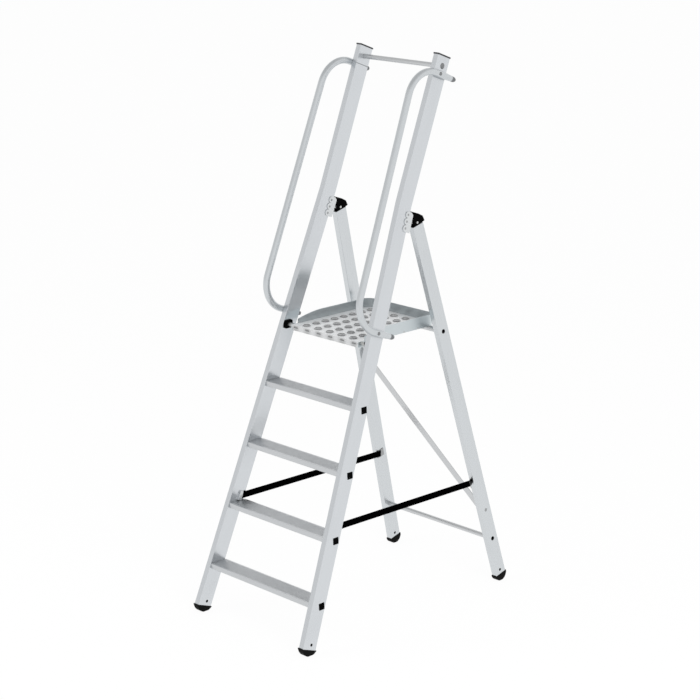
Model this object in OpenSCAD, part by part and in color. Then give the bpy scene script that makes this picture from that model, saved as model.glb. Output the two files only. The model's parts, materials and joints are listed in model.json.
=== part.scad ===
// Folding platform step ladder with tall guard stiles and two handrails, standing open.
// Millimetres, Z up. The origin is on the floor, at the centre of the outline that the feet cover.
// The front frame leans back, the rear frame hangs from two hinges and two straps stop it opening too far.

/* [Stance] */
// Lean of the front stiles from the vertical, in degrees
stile_lean = 20.6; // [19:0.1:22]
// Lean of the rear legs from the vertical, in degrees
leg_lean = 15.4; // [14:0.1:17]
// Outer half width of the front frame at the floor
stile_foot_half = 323; // [310:1:340]
// Outer half width of the upper, parallel part of the front frame
stile_top_half = 223.5; // [218:0.5:232]
// Outer half width of the rear frame at its feet
leg_foot_half = 322; // [310:1:340]

/* [Stiles] */
// Depth of a stile, front to back
stile_depth = 70; // [66:0.5:76]
// Thickness of a stile across the ladder
stile_thick = 25; // [23:0.5:27]
// Wall of the stile's box section
stile_wall = 2.4; // [2:0.1:3]
// Distance along the stile from the floor line to its lower end
stile_bottom = 40; // [36:1:44]
// Distance along the stile to the bend above which the stiles run parallel
stile_kink = 1790; // [1760:1:1820]
// Distance along the stile to its upper end
stile_top = 2378; // [2300:1:2450]

/* [Stile caps] */
// Thickness of the cap on a stile's upper end
cap_plate = 6; // [3:0.5:8]
// Overhang of the cap round the stile
cap_lip = 1.2; // [0.5:0.1:2.5]
// Depth of the cap's plug inside the stile
cap_plug = 16; // [8:1:20]

/* [Treads] */
// Height of the first tread above the floor
first_tread_top = 200.5; // [190:0.5:215]
// Rise from tread to tread
step_rise = 240; // [230:1:248]
// Depth of a tread
tread_depth = 80; // [76:1:86]
// Distance of a tread's front edge behind the front faces of the stiles
tread_setback = 1.1; // [0:0.1:4]
// Thickness of a tread's top plate
tread_plate = 3; // [2.5:0.1:4]
// Height of a tread's front and rear aprons
tread_apron = 20.4; // [16:0.2:26]
// Thickness of a tread's aprons and webs
tread_web = 2.5; // [2:0.1:3.5]
// Width of a grip groove in the tread
groove_width = 2.6; // [1.5:0.1:4]
// Depth of a grip groove in the tread
groove_depth = 0.9; // [0.4:0.1:1.5]
// Spacing of the grip grooves
groove_pitch = 5.6; // [5:0.1:8]
// Side of the square spigot that passes through the stiles
spigot_size = 24; // [22:0.5:26]
// Wall of the square spigot
spigot_wall = 2; // [1.5:0.1:3]
// Distance from the tread's front edge back to the spigot's centre
spigot_back = 45; // [42:0.5:54]
// Distance from the tread's top down to the spigot's centre
spigot_drop = 20; // [17:0.5:24]
// Side of the plug head that closes a spigot
plug_head = 26.4; // [26:0.2:30]
// Thickness of the plug head
plug_plate = 2.2; // [1.5:0.1:4]
// Depth of the plug inside the spigot
plug_depth = 12; // [6:1:18]

/* [Front feet] */
// Radius of the front foot's rounded sole
foot_radius = 42; // [40:0.5:46]
// Depth of the flat worn into the front foot's sole
foot_flat = 2.2; // [1.5:0.1:4]
// Overhang of the front foot beside the stile
foot_lip = 1.5; // [0.5:0.1:3]
// Height of the front foot's plug inside the stile
foot_plug = 46; // [38:1:60]
// Distance of the foot screw above the end of the stile
foot_screw_up = 20; // [14:1:28]
// Distance of the foot screw behind the stile's front face
foot_screw_back = 40; // [30:1:46]

/* [Rear legs] */
// Depth of a rear leg, front to back
leg_depth = 57; // [52:0.5:60]
// Thickness of a rear leg across the ladder
leg_thick = 25; // [23:0.5:27]
// Wall of the rear leg's box section
leg_wall = 2.2; // [1.8:0.1:3]
// Radius of the rear foot's rounded sole
rear_foot_radius = 31.5; // [30:0.5:35]
// Depth of the flat worn into the rear foot's sole
rear_foot_flat = 1.2; // [0.8:0.1:3]
// Height of the rear foot's plug inside the leg
rear_foot_plug = 40; // [32:1:60]
// Distance of the rear foot screw above the end of the leg
rear_foot_screw_up = 19; // [14:1:26]

/* [Hinge] */
// Distance of the hinge pin below the stile's bend
hinge_below_kink = 53; // [50:1:70]
// Distance of the hinge pin behind the stile's front face
hinge_back = 122.3; // [121:0.1:128]
// Diameter of the hinge pin
hinge_pin_d = 10; // [8:0.5:12]
// Height of the hinge pin's domed end
hinge_pin_dome = 1.2; // [0.6:0.1:2]
// Thickness of the bracket's side plates
bracket_plate = 3; // [2:0.1:4]
// Distance of the bracket's rear face behind the stile
bracket_block = 16; // [12:0.5:17]
// Spacing of the three rivets along the stile
bracket_rivet_pitch = 27; // [24:0.5:28]
// Distance of the rivets in front of the stile's rear face
bracket_rivet_in = 11.5; // [9:0.5:16]
// Distance of the middle rivet below the hinge pin
bracket_rivet_drop = 10; // [4:0.5:14]
// Radius of the bracket's lobe round a rivet
bracket_lobe = 13; // [11:0.5:14]
// Thickness of the bracket's tongue
tongue_thick = 9; // [7:0.5:11]
// Radius of the tongue round the pin
tongue_radius = 10; // [8:0.5:12]
// Height of the hinge head above the pin
head_top = 57; // [50:0.5:60]
// Reach of the hinge head behind the pin
head_back = 40; // [34:0.5:44]
// Reach of the hinge head in front of the pin
head_front = 17; // [14:0.5:19]
// Gap between the tip of the hinge head's beak and the stile
beak_gap = 1; // [0.5:0.1:3]
// Gap between the tongue and the leg's upper end
head_gap = 1; // [0.6:0.1:2]
// Depth of the hinge head's plug inside the leg
head_plug = 34; // [20:1:50]

/* [Platform] */
// Rise from the last tread to the platform
platform_rise = 227.5; // [215:0.5:240]
// Width of the platform over its toe board
platform_width = 380; // [360:1:384]
// Reach of the platform behind the rest tube
platform_overhang = 25; // [14:0.5:40]
// Thickness of the platform's sheet
sheet = 2.5; // [2:0.1:3]
// Height of the toe board above the deck
toe_height = 37; // [30:1:60]
// Distance from the deck's face down to the lower edge of the toe board
toe_drop = 10; // [9:0.5:13]
// Radius of the toe board's rear corners
toe_corner = 40; // [30:1:60]
// Distance of the toe board's raised sides behind the platform's front edge
toe_front = 35; // [24:1:60]
// Length over which the toe board's sides sink towards the front
toe_fall_length = 180; // [150:1:220]
// Radius of the arc along which they sink
toe_fall_radius = 530; // [480:5:900]
// Height of the deck's front lip
lip_height = 22; // [20:0.5:28]
// Set-in of the lip's lower corners
lip_taper = 8; // [4:1:12]
// Diameter of a hole in the deck
hole_d = 27; // [20:0.5:30]
// Height of the raised rim round a hole
rim_height = 5; // [2:0.1:7]
// Thickness of the raised rim
rim_wall = 2; // [1.2:0.1:3]
// Spacing of the holes across the deck
hole_pitch_x = 66; // [60:0.5:70]
// Spacing of the holes along the deck
hole_pitch_y = 51.5; // [46:0.5:56]
// Distance from the deck's front edge to the first row of holes
hole_first = 30; // [24:0.5:36]
// Length of a slot in the lip
lip_slot_length = 26; // [16:1:30]
// Height of a slot in the lip
lip_slot_height = 7; // [5:0.5:8]
// Depth of a slot's middle below the top of the deck
lip_slot_drop = 8.5; // [7.5:0.5:12]
// Depth to which a slot is pressed into the lip
lip_slot_depth = 1.6; // [1:0.1:1.8]

/* [Platform pivot] */
// Distance of the platform's pivot behind the stile's front face
pivot_back = 25; // [22:0.5:30]
// Distance of the pivot below the deck's face
pivot_drop = 7.5; // [7:0.1:8.5]
// Distance from the platform's front edge back to the pivot
pivot_inset = 17; // [14:0.5:22]
// Diameter of the pivot pin
pivot_pin_d = 8; // [6:0.5:9]
// Length of the toe board's pivot ear
ear_length = 40; // [32:1:50]
// Diameter of the pin's collar between the block and the platform
pivot_collar_d = 16; // [12:0.5:18]
// Length of the pivot block
block_length = 40; // [36:1:46]
// Height of the pivot block
block_height = 33; // [32:1:40]
// Thickness of the pivot block at the pivot
block_thick = 7; // [5:0.5:12]
// Distance of the block's front face in front of the pivot
block_front = 19; // [14:0.5:20]
// Distance of the block's lower face below the pivot
block_drop = 16.5; // [14:0.5:20]
// Corner radius of the pivot block
block_corner = 6; // [2:0.5:10]

/* [Handrails] */
// Outer diameter of a handrail tube
rail_d = 27; // [24:0.5:30]
// Wall of a handrail tube
rail_wall = 2.5; // [2:0.1:3]
// Distance of the forward run in front of the stile
rail_reach = 120; // [100:1:140]
// Straight length of the runs in front of the stile
rail_lead = 2; // [1:0.5:20]
// Distance of the upper run below the top of the stile
rail_below_top = 72; // [64:1:90]
// Distance between the upper and the lower run
rail_span = 1025; // [980:5:1060]
// Distance of the rear ends behind the stile's front face
rail_end = 103; // [96:1:116]
// Length over which each end tapers
rail_taper = 52; // [30:1:60]
// Outer diameter of an end
rail_end_d = 21; // [18:0.5:24]
// Depth of the flat where the tube sits on the stile
rail_seat = 1; // [0.5:0.1:1.5]
// Distance of the bolts behind the stile's front face
rail_bolt_back = 13; // [12:1:40]
// Length of an end plug inside the tube
rail_plug = 14; // [8:1:24]
// Thickness of an end plug's head
rail_plug_head = 7; // [4:0.5:10]
// Set-in of the head's outer edge
rail_plug_taper = 3; // [1:0.5:5]

/* [Bars] */
// Diameter of the bar between the tops of the stiles
top_bar_d = 19; // [16:0.5:24]
// Distance of the top bar below the top of the stile
top_bar_below = 37; // [30:1:44]
// Distance of the top bar behind the stile's front face
top_bar_back = 38; // [26:1:46]
// Diameter of the tube on which the platform rests
rest_tube_d = 22; // [18:0.5:24]
// Diameter of the lower crossbar
crossbar_d = 19; // [16:0.5:22]
// Distance of the lower crossbar above the end of the leg
crossbar_up = 172; // [150:1:200]
// Width of the diagonal brace
brace_width = 32; // [26:0.5:36]
// Thickness of the diagonal brace
brace_thick = 3; // [2:0.1:4]
// Distance of the brace's plane in front of the leg's centre line
brace_front = 8; // [5:0.5:12]
// Distance of the brace's upper end below the hinge pin
brace_high = 666; // [640:1:720]
// Distance of the brace's lower end below the hinge pin
brace_low = 1286; // [1250:1:1330]
// Distance of the low rivet below the low end's middle
brace_rivet_drop = 14; // [0:0.5:16]
// Length of a brace tab along the leg
brace_tab = 58; // [56:1:66]

/* [Straps] */
// Width of a strap
strap_width = 28; // [24:0.5:30]
// Thickness of a strap
strap_thick = 2; // [1.5:0.1:3]
// Distance along the stile to the strap clip
clip_along = 509; // [480:1:540]
// Distance of the clip behind the stile's front face
clip_back = 38; // [34:0.5:40]
// Length of the clip
clip_length = 15; // [14:0.5:18]
// Height of the clip
clip_height = 38; // [36:0.5:42]
// Thickness of the clip at its middle
clip_thick = 3.2; // [2.6:0.1:5]
// Thickness of the clip over the strap
clip_cover = 2; // [1.5:0.1:3]
// Length of strap inside the clip
strap_lap = 12; // [11:0.5:13]
// Distance of the strap's rear end below the hinge pin
anchor_down = 1172; // [1140:1:1200]
// Distance of the strap's rear end behind the leg's centre line
strap_end = -9; // [-12:0.5:0]
// Height of the rear anchor plate
anchor_height = 33; // [32:0.5:42]
// Length of the anchor plate
anchor_length = 40; // [38:0.5:50]
// Thickness of the anchor plate
anchor_plate = 2.5; // [2:0.1:4]
// Distance of the anchor's rivet behind the leg's centre line
anchor_rivet_back = 2; // [1:0.5:4]

/* [Fasteners] */
// Diameter of a bolt shank
bolt_d = 8; // [6:0.5:9]
// Diameter of a bolt head or a bolt cap
bolt_head_d = 15; // [13:0.5:18]
// Height of a bolt head
bolt_head_h = 4; // [3:0.5:7]
// Diameter of the top bar's washer heads
top_head_d = 24; // [18:0.5:26]
// Diameter of the caps on the rear frame's bolts
leg_cap_d = 18; // [15:0.5:22]
// Diameter of the diagonal brace's rivet heads
brace_head_d = 15; // [10:0.5:18]
// Diameter of the foot screws' heads
foot_head_d = 12; // [9:0.5:14]
// Diameter of a rivet or a screw shank
rivet_d = 5; // [4:0.5:6]
// Diameter of a rivet or a screw head
rivet_head_d = 9.5; // [8:0.5:11]
// Height of a rivet or a screw head
rivet_head_h = 2; // [1:0.1:3]
// Length of thread inside a bar, a plug or a nut
thread_length = 18; // [12:1:24]
// Thickness of a hidden nut
nut_thick = 4; // [3:0.5:6]
// Gap that keeps a hidden nut off a slanted wall
nut_clear = 0.6; // [0.5:0.1:1.2]

/* [Fits] */
// Gap round a pin, a shank or a plug
fit = 0.06; // [0.04:0.01:0.1]
// Gap between faces that pass each other
run_gap = 0.4; // [0.3:0.05:0.6]
// Gap between the platform and the tube that it rests on
rest_gap = 0.3; // [0.2:0.05:0.5]
// Gap between the deck and the toe board round it
sheet_gap = 0.2; // [0.1:0.05:0.4]

/* [Hidden] */
$fn = 64;

// Overrun of every cut past the face that it leaves
over = 10;
// How far a hole drawn with this gap runs past its fastener
function past(gap) = gap > 0 ? over : 0;
// Half size of a solid that only bounds others
far = 4000;

// The stile's outer face, as a distance from the middle of the ladder at each point along it
stile_taper = (stile_foot_half - stile_top_half) / stile_kink;
stile_splay = atan(stile_taper);
function stile_out(along) = stile_top_half + stile_taper * max(stile_kink - along, 0);
function stile_in(along) = stile_out(along) - stile_thick;
function off_stile(across) = across * cos(stile_splay);
function stile_y(along, back) = back * cos(stile_lean) + along * sin(stile_lean);
function stile_z(along, back) = along * cos(stile_lean) - back * sin(stile_lean);

// The hinge pin, and the rear leg that hangs from it
hinge_along = stile_kink - hinge_below_kink;
hinge_x = stile_out(hinge_along) - stile_thick / 2;
hinge_y = stile_y(hinge_along, hinge_back);
hinge_z = stile_z(hinge_along, hinge_back);
leg_end = (hinge_z - rear_foot_radius + rear_foot_flat) / cos(leg_lean);
leg_taper = (leg_foot_half - leg_thick / 2 - hinge_x) / leg_end;
leg_splay = atan(leg_taper);
function leg_out(down) = hinge_x + leg_thick / 2 + leg_taper * down;
function leg_in(down) = leg_out(down) - leg_thick;
function off_leg(across) = across * cos(leg_splay);
function leg_y(down, back) = hinge_y + down * sin(leg_lean) + back * cos(leg_lean);
function leg_z(down, back) = hinge_z - down * cos(leg_lean) + back * sin(leg_lean);

// The front foot's centre, and the middle of the footprint
foot_back = stile_depth / 2;
foot_along = (foot_radius - foot_flat + foot_back * sin(stile_lean)) / cos(stile_lean);
foot_chord = sqrt(pow(foot_radius, 2) - pow(foot_along - stile_bottom, 2));
foot_round_shows = foot_along - foot_radius * sin(stile_lean) <= stile_bottom;
front_y = foot_round_shows
    ? stile_y(foot_along, foot_back) - foot_radius
    : stile_y(stile_bottom, foot_back - foot_chord);
rear_y = leg_y(leg_end, 0) + rear_foot_radius;
middle_y = (front_y + rear_y) / 2;

// Treads
tread_count = 4;
function tread_top(i) = first_tread_top + step_rise * i;
function tread_front(i) = tread_top(i) * tan(stile_lean) + tread_setback;
groove_count = floor((tread_depth - 2 * tread_web - groove_width) / groove_pitch);

// Hinge bracket, in distances along and behind the stile
rivet_back = stile_depth - bracket_rivet_in;
rivet_middle = hinge_along - bracket_rivet_drop;
bracket_rear = stile_depth + bracket_block;
spread = stile_lean + leg_lean;
head_drop = tongue_radius + head_gap;
head_beak = (hinge_back - head_top * sin(spread) - stile_depth - beak_gap) / cos(spread);

// Outline of the hinge head, as shares of its reaches
beak_root_share = 0.7;
head_shoulder_shares = [0.4, 0.55];
head_corner_shares = [0.875, 0.25];
head_heel_share = 0.68;
head_toe_share = 0.43;

// Platform, with its pivot on the stile and the tube under its rear edge
platform_half = platform_width / 2;
deck_z = tread_top(tread_count - 1) + platform_rise;
pivot_z = deck_z - pivot_drop;
pivot_along = (pivot_z + pivot_back * sin(stile_lean)) / cos(stile_lean);
pivot_y = stile_y(pivot_along, pivot_back);
toe_low = deck_z - toe_drop;
toe_high = deck_z + toe_height;
rest_z = toe_low - rest_gap - rest_tube_d / 2;
rest_down = (hinge_z - rest_z) / cos(leg_lean);
platform_front = pivot_y - pivot_inset;
platform_rear = leg_y(rest_down, 0) + platform_overhang;
toe_fall_start = platform_front + toe_fall_length;
deck_half = platform_half - sheet - sheet_gap;
deck_rear = platform_rear - sheet - sheet_gap;
hole_columns = floor((deck_half - hole_d / 2 - rim_wall) / hole_pitch_x);
hole_row_room = deck_rear - platform_front - hole_first - hole_d / 2 - rim_wall;
hole_rows = floor(hole_row_room / hole_pitch_y);
slot_columns = floor((deck_half - lip_taper - lip_slot_length / 2) / hole_pitch_x + 1 / 2);
flange_front = pivot_y + ear_length;
flange_rear = leg_y(rest_down, 0) - toe_corner;
flange_drop = toe_drop - rest_gap;
platform_rivet_count = 4;
platform_rivet_z = deck_z - (sheet + flange_drop) / 2;

// Depth of a hidden nut's far face inside the stile's wall
nut_end = stile_wall + nut_clear + nut_thick;

// Handrail, whose plane joins its two seats on the bent stile
rail_high = stile_top - rail_below_top;
rail_low = rail_high - rail_span;
rail_off = rail_d / 2 - rail_seat;
rail_low_x = stile_out(rail_low) + rail_off;
rail_high_x = stile_out(rail_high) + rail_off;
rail_tilt = atan((rail_low_x - rail_high_x) / rail_span);
rail_length = rail_span / cos(rail_tilt);
rail_bend = rail_reach - rail_lead;
rail_centre = -rail_lead;

// Straps, in upright planes from the stiles' inner faces to the plates on the legs' inner faces
strap_x = stile_in(clip_along) - clip_thick;
strap_rivet_back = clip_back + clip_length - strap_lap / 2;
strap_front_y = stile_y(clip_along, strap_rivet_back) - strap_lap / 2;
strap_front_z = stile_z(clip_along, strap_rivet_back);
strap_rear_y = leg_y(anchor_down, strap_end);
strap_rear_z = leg_z(anchor_down, strap_end);
strap_slope = atan((strap_rear_z - strap_front_z) / (strap_rear_y - strap_front_y));
strap_length = norm([strap_rear_y - strap_front_y, strap_rear_z - strap_front_z]);
anchor_x = leg_in(anchor_down - anchor_height / 2) - anchor_plate;
strap_lean_in = max(0, strap_x - anchor_x) * leg_depth / (strap_rear_y - strap_front_y);
strap_rear_x = anchor_x - rest_gap - strap_lean_in;
strap_turn = atan((strap_rear_x - strap_x) / (strap_rear_y - strap_front_y));
top_bar_along = stile_top - top_bar_below;
crossbar_down = leg_end - crossbar_up;
brace_rivet_low = brace_low + brace_rivet_drop;

// Placing

module in_frame() {
    translate([0, -middle_y, 0]) children();
}

// Children lie across, behind and along the stile
module along_stile() {
    in_frame() rotate([-stile_lean, 0, 0]) children();
}

// Children lie across, behind and up the rear leg, from the hinge pin
module along_leg() {
    in_frame() translate([0, hinge_y, hinge_z]) rotate([leg_lean, 0, 0]) children();
}

module both_sides() {
    children();
    mirror([1, 0, 0]) children();
}

// Children point outward, square to the stile's outer face
module on_stile(along, back) {
    along_stile() translate([stile_out(along), back, along])
        rotate([0, along < stile_kink ? -stile_splay : 0, 0]) children();
}

// Children point outward, square to the leg's outer face
module on_leg(down, back) {
    along_leg() translate([leg_out(down), back, -down]) rotate([0, -leg_splay, 0]) children();
}

// Basic shapes

module rod_x(from, to, d) {
    translate([from, 0, 0]) rotate([0, 90, 0]) cylinder(h = to - from, d = d);
}

module dome_x(from, d, h) {
    ball = (pow(d / 2, 2) + pow(h, 2)) / (2 * h);
    translate([from, 0, 0]) rotate([0, 90, 0]) rotate_extrude()
        intersection() {
            translate([0, h - ball]) circle(r = ball);
            square([d / 2, h]);
        }
}

// A flat outline drawn in Y and Z, made thick along X
module plate_x(from, to) {
    translate([from, 0, 0]) rotate([90, 0, 90]) linear_extrude(to - from) children();
}

// A flat outline drawn in X and Z, made thick along Y
module plate_y(from, to) {
    translate([0, to, 0]) rotate([90, 0, 0]) linear_extrude(to - from) children();
}

// A slab that follows the stile's outer face from one offset to another
module stile_slab(inner, outer, back, low, high) {
    stops = low < stile_kink && stile_kink < high ? [low, stile_kink, high] : [low, high];
    last = len(stops) - 1;
    plate_y(back[0], back[1]) polygon(concat(
        [for (i = [0:last]) [stile_out(stops[i]) + inner, stops[i]]],
        [for (i = [0:last]) [stile_out(stops[last - i]) + outer, stops[last - i]]]
    ));
}

// A slab that follows the leg's outer face from one offset to another
module leg_slab(inner, outer, back, high, low) {
    plate_y(back[0], back[1]) polygon([
        [leg_out(high) + inner, -high],
        [leg_out(low) + inner, -low],
        [leg_out(low) + outer, -low],
        [leg_out(high) + outer, -high]
    ]);
}

// The room between the two stiles below their bend, made wider by so much on each side
module between_stiles(more) {
    plate_y(-far, far) polygon([
        [-stile_in(0) - more, 0],
        [stile_in(0) + more, 0],
        [stile_in(stile_kink) + more, stile_kink],
        [-stile_in(stile_kink) - more, stile_kink]
    ]);
}

// The room between the two rear legs
module between_legs() {
    plate_y(-far, far) polygon([
        [-leg_in(0), 0],
        [leg_in(0), 0],
        [leg_in(leg_end), -leg_end],
        [-leg_in(leg_end), -leg_end]
    ]);
}

module above_floor() {
    translate([-far, -far, 0]) cube([2 * far, 2 * far, far]);
}

module round_box_2d(size, r) {
    translate([0, r]) square([size[0], size[1] - 2 * r]);
    translate([r, 0]) square([size[0] - 2 * r, size[1]]);
    for (x = [r, size[0] - r], y = [r, size[1] - r]) translate([x, y]) circle(r = r);
}

// Fastener shanks. With a gap they are the holes, which run past the outer faces

module rail_bolt_shank(along, gap) {
    along_stile() translate([0, rail_bolt_back, along])
        rod_x(stile_out(along) - nut_end, stile_out(along) + rail_off + rail_d / 2 + past(gap),
            bolt_d + 2 * gap);
}

module top_screw_shank(gap) {
    along_stile() translate([0, top_bar_back, top_bar_along])
        rod_x(stile_in(top_bar_along) - thread_length, stile_out(top_bar_along), rivet_d + 2 * gap);
}

module hinge_rivet_shank(along, gap) {
    on_stile(along, rivet_back)
        rod_x(-off_stile(stile_thick + bracket_plate) - past(gap), off_stile(bracket_plate) + past(gap),
            rivet_d + 2 * gap);
}

module pivot_pin_shank(gap) {
    in_frame() translate([0, pivot_y, pivot_z])
        rod_x(platform_half - sheet, stile_in(pivot_along) + nut_end, pivot_pin_d + 2 * gap);
}

module strap_rivet_shank(gap) {
    along_stile() translate([0, strap_rivet_back, clip_along])
        rod_x(strap_x - strap_thick - clip_cover - past(gap), stile_in(clip_along) + nut_end,
            rivet_d + 2 * gap);
}

module foot_screw_shank(gap) {
    on_stile(stile_bottom + foot_screw_up, foot_screw_back)
        rod_x(-off_stile(stile_thick) - past(gap), past(gap), rivet_d + 2 * gap);
}

module rear_foot_screw_shank(gap) {
    on_leg(leg_end - rear_foot_screw_up, 0)
        rod_x(-off_leg(leg_thick) - past(gap), past(gap), rivet_d + 2 * gap);
}

module leg_bolt_shank(down, gap) {
    on_leg(down, 0) rod_x(-leg_thick - thread_length, past(gap), bolt_d + 2 * gap);
}

module brace_rivet_shank(down, gap) {
    on_leg(down, 0)
        rod_x(-off_leg(leg_thick + brace_thick) - past(gap), past(gap), rivet_d + 2 * gap);
}

module anchor_rivet_shank(gap) {
    on_leg(anchor_down, anchor_rivet_back)
        rod_x(-off_leg(leg_thick + anchor_plate) - past(gap), nut_thick - off_leg(leg_thick - leg_wall),
            rivet_d + 2 * gap);
}

// The strap's outline, grown on every side by the gap
module strap_band(gap) {
    in_frame() translate([strap_x, strap_front_y, strap_front_z])
        rotate([0, 0, -strap_turn]) rotate([strap_slope, 0, 0])
            plate_x(-strap_thick - gap, gap) translate([-gap, -strap_width / 2 - gap])
                square([strap_length + gap, strap_width + 2 * gap]);
}

// The square bar that a tread pushes through both stiles
module spigot_2d(i, side) {
    translate([tread_front(i) + spigot_back - side / 2, tread_top(i) - spigot_drop - side / 2]) square(side);
}

// Front frame

module stile() {
    difference() {
        along_stile() difference() {
            stile_slab(-stile_thick, 0, [0, stile_depth], stile_bottom, stile_top);
            stile_slab(-stile_thick + stile_wall, -stile_wall, [stile_wall, stile_depth - stile_wall],
                stile_bottom - over, stile_top + over);
        }
        for (i = [0:tread_count - 1]) in_frame() plate_x(0, far) spigot_2d(i, spigot_size + 2 * fit);
        for (along = [rail_low, rail_high]) rail_bolt_shank(along, fit);
        for (k = [-1:1]) hinge_rivet_shank(rivet_middle + k * bracket_rivet_pitch, fit);
        top_screw_shank(fit);
        pivot_pin_shank(fit);
        strap_rivet_shank(fit);
        foot_screw_shank(fit);
    }
}

module stile_right() {
    color("gainsboro") stile();
}

module stile_left() {
    color("gainsboro") mirror([1, 0, 0]) stile();
}

module stile_caps() {
    skin = stile_wall + fit;
    color("dimgray") both_sides() along_stile() {
        stile_slab(-stile_thick - cap_lip, cap_lip, [-cap_lip, stile_depth + cap_lip],
            stile_top, stile_top + cap_plate);
        stile_slab(-stile_thick + skin, -skin, [skin, stile_depth - skin], stile_top - cap_plug, stile_top);
    }
}

module tread_profile_2d(i) {
    core = spigot_size - 2 * spigot_wall;
    middle = tread_front(i) + spigot_back;
    web_height = spigot_drop - tread_plate;
    translate([tread_front(i), tread_top(i) - tread_plate]) difference() {
        square([tread_depth, tread_plate]);
        for (k = [1:groove_count])
            translate([tread_depth / 2 + (k - (groove_count + 1) / 2) * groove_pitch - groove_width / 2,
                tread_plate - groove_depth]) square([groove_width, groove_depth + over]);
    }
    for (y = [0, tread_depth - tread_web])
        translate([tread_front(i) + y, tread_top(i) - tread_apron])
            square([tread_web, tread_apron - tread_plate]);
    difference() {
        union() {
            spigot_2d(i, spigot_size);
            for (side = [-1, 1])
                translate([middle + side * (spigot_size - tread_web) / 2 - tread_web / 2,
                    tread_top(i) - spigot_drop]) square([tread_web, web_height]);
        }
        spigot_2d(i, core);
    }
}

// One tread, cut off by the stiles' inner faces, with its spigot running on to their outer faces
module tread(i) {
    core = spigot_size - 2 * spigot_wall;
    color("silver") {
        intersection() {
            in_frame() plate_x(-far, far) tread_profile_2d(i);
            along_stile() between_stiles(0);
        }
        intersection() {
            in_frame() plate_x(-far, far) difference() {
                spigot_2d(i, spigot_size);
                spigot_2d(i, core);
            }
            along_stile() between_stiles(stile_thick);
        }
    }
}

module tread_1() {
    tread(0);
}

module tread_2() {
    tread(1);
}

module tread_3() {
    tread(2);
}

module tread_4() {
    tread(3);
}

module tread_plugs() {
    core = spigot_size - 2 * spigot_wall - 2 * fit;
    color("black") both_sides() for (i = [0:tread_count - 1]) {
        intersection() {
            in_frame() plate_x(0, far) spigot_2d(i, plug_head);
            along_stile() stile_slab(0, plug_plate, [-far, far], 0, stile_kink);
        }
        intersection() {
            in_frame() plate_x(0, far) spigot_2d(i, core);
            along_stile() stile_slab(-plug_depth, 0, [-far, far], 0, stile_kink);
        }
    }
}

// A rubber foot with a round sole, cut flat on the floor, and its plug inside the stile
module front_foot() {
    skin = stile_wall + fit;
    inner = stile_in(stile_bottom) - foot_lip;
    outer = stile_out(stile_bottom) + foot_lip;
    difference() {
        union() {
            intersection() {
                along_stile() intersection() {
                    translate([0, foot_back, foot_along]) rod_x(inner, outer, 2 * foot_radius);
                    translate([0, -far, stile_bottom - far]) cube([far, 2 * far, far]);
                }
                above_floor();
            }
            along_stile() stile_slab(-stile_thick + skin, -skin, [skin, stile_depth - skin],
                stile_bottom, stile_bottom + foot_plug);
        }
        foot_screw_shank(fit);
    }
}

module front_foot_right() {
    color("black") front_foot();
}

module front_foot_left() {
    color("black") mirror([1, 0, 0]) front_foot();
}

module front_foot_screws() {
    color("dimgray") both_sides() {
        foot_screw_shank(0);
        on_stile(stile_bottom + foot_screw_up, foot_screw_back) {
            dome_x(0, foot_head_d, rivet_head_h);
            mirror([1, 0, 0]) dome_x(off_stile(stile_thick), foot_head_d, rivet_head_h);
        }
    }
}

module top_bar() {
    color("silver") difference() {
        along_stile() translate([0, top_bar_back, top_bar_along])
            rod_x(-stile_in(top_bar_along), stile_in(top_bar_along), top_bar_d);
        both_sides() top_screw_shank(fit);
    }
}

module top_bar_screws() {
    color("darkgray") both_sides() {
        top_screw_shank(0);
        on_stile(top_bar_along, top_bar_back) dome_x(0, top_head_d, bolt_head_h);
    }
}

// The handrail's centre line swept by a round of the given diameter
module rail_sweep(inset, reach) {
    d = rail_d - 2 * inset;
    end_d = rail_end_d - 2 * inset;
    straight = rail_end - rail_taper;
    for (z = [0, rail_length]) translate([0, 0, z]) rotate([-90, 0, 0]) {
        translate([0, 0, rail_centre]) cylinder(h = straight - rail_centre, d = d);
        translate([0, 0, straight]) cylinder(h = rail_taper, d1 = d, d2 = end_d);
        if (reach > 0) translate([0, 0, rail_end]) cylinder(h = reach, d = end_d);
    }
    translate([0, -rail_reach, rail_bend]) cylinder(h = rail_length - 2 * rail_bend, d = d);
    translate([0, rail_centre, rail_bend]) rotate([-90, 0, 0]) rotate([0, 90, 0])
        rotate_extrude(angle = 90) translate([rail_bend, 0]) circle(d = d);
    translate([0, rail_centre, rail_length - rail_bend]) rotate([180, 0, 0]) rotate([0, 90, 0])
        rotate_extrude(angle = 90) translate([rail_bend, 0]) circle(d = d);
}

// Children lie in the handrail's own plane, from its lower run
module on_rail() {
    along_stile() translate([rail_low_x, 0, rail_low]) rotate([0, -rail_tilt, 0]) children();
}

module handrail() {
    difference() {
        on_rail() difference() {
            rail_sweep(0, 0);
            rail_sweep(rail_wall, over);
        }
        along_stile() stile_slab(-stile_thick, 0, [0, stile_depth], stile_bottom, stile_top);
        for (along = [rail_low, rail_high]) rail_bolt_shank(along, fit);
    }
}

module handrail_right() {
    color("gainsboro") handrail();
}

module handrail_left() {
    color("gainsboro") mirror([1, 0, 0]) handrail();
}

module handrail_bolts() {
    color("darkgray") both_sides() for (along = [rail_low, rail_high]) {
        rail_bolt_shank(along, 0);
        along_stile() translate([0, rail_bolt_back, along]) {
            dome_x(stile_out(along) + rail_off + rail_d / 2, bolt_head_d, bolt_head_h);
            rod_x(stile_out(along) - nut_end, stile_out(along) - nut_end + nut_thick, bolt_head_d);
        }
    }
}

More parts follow.
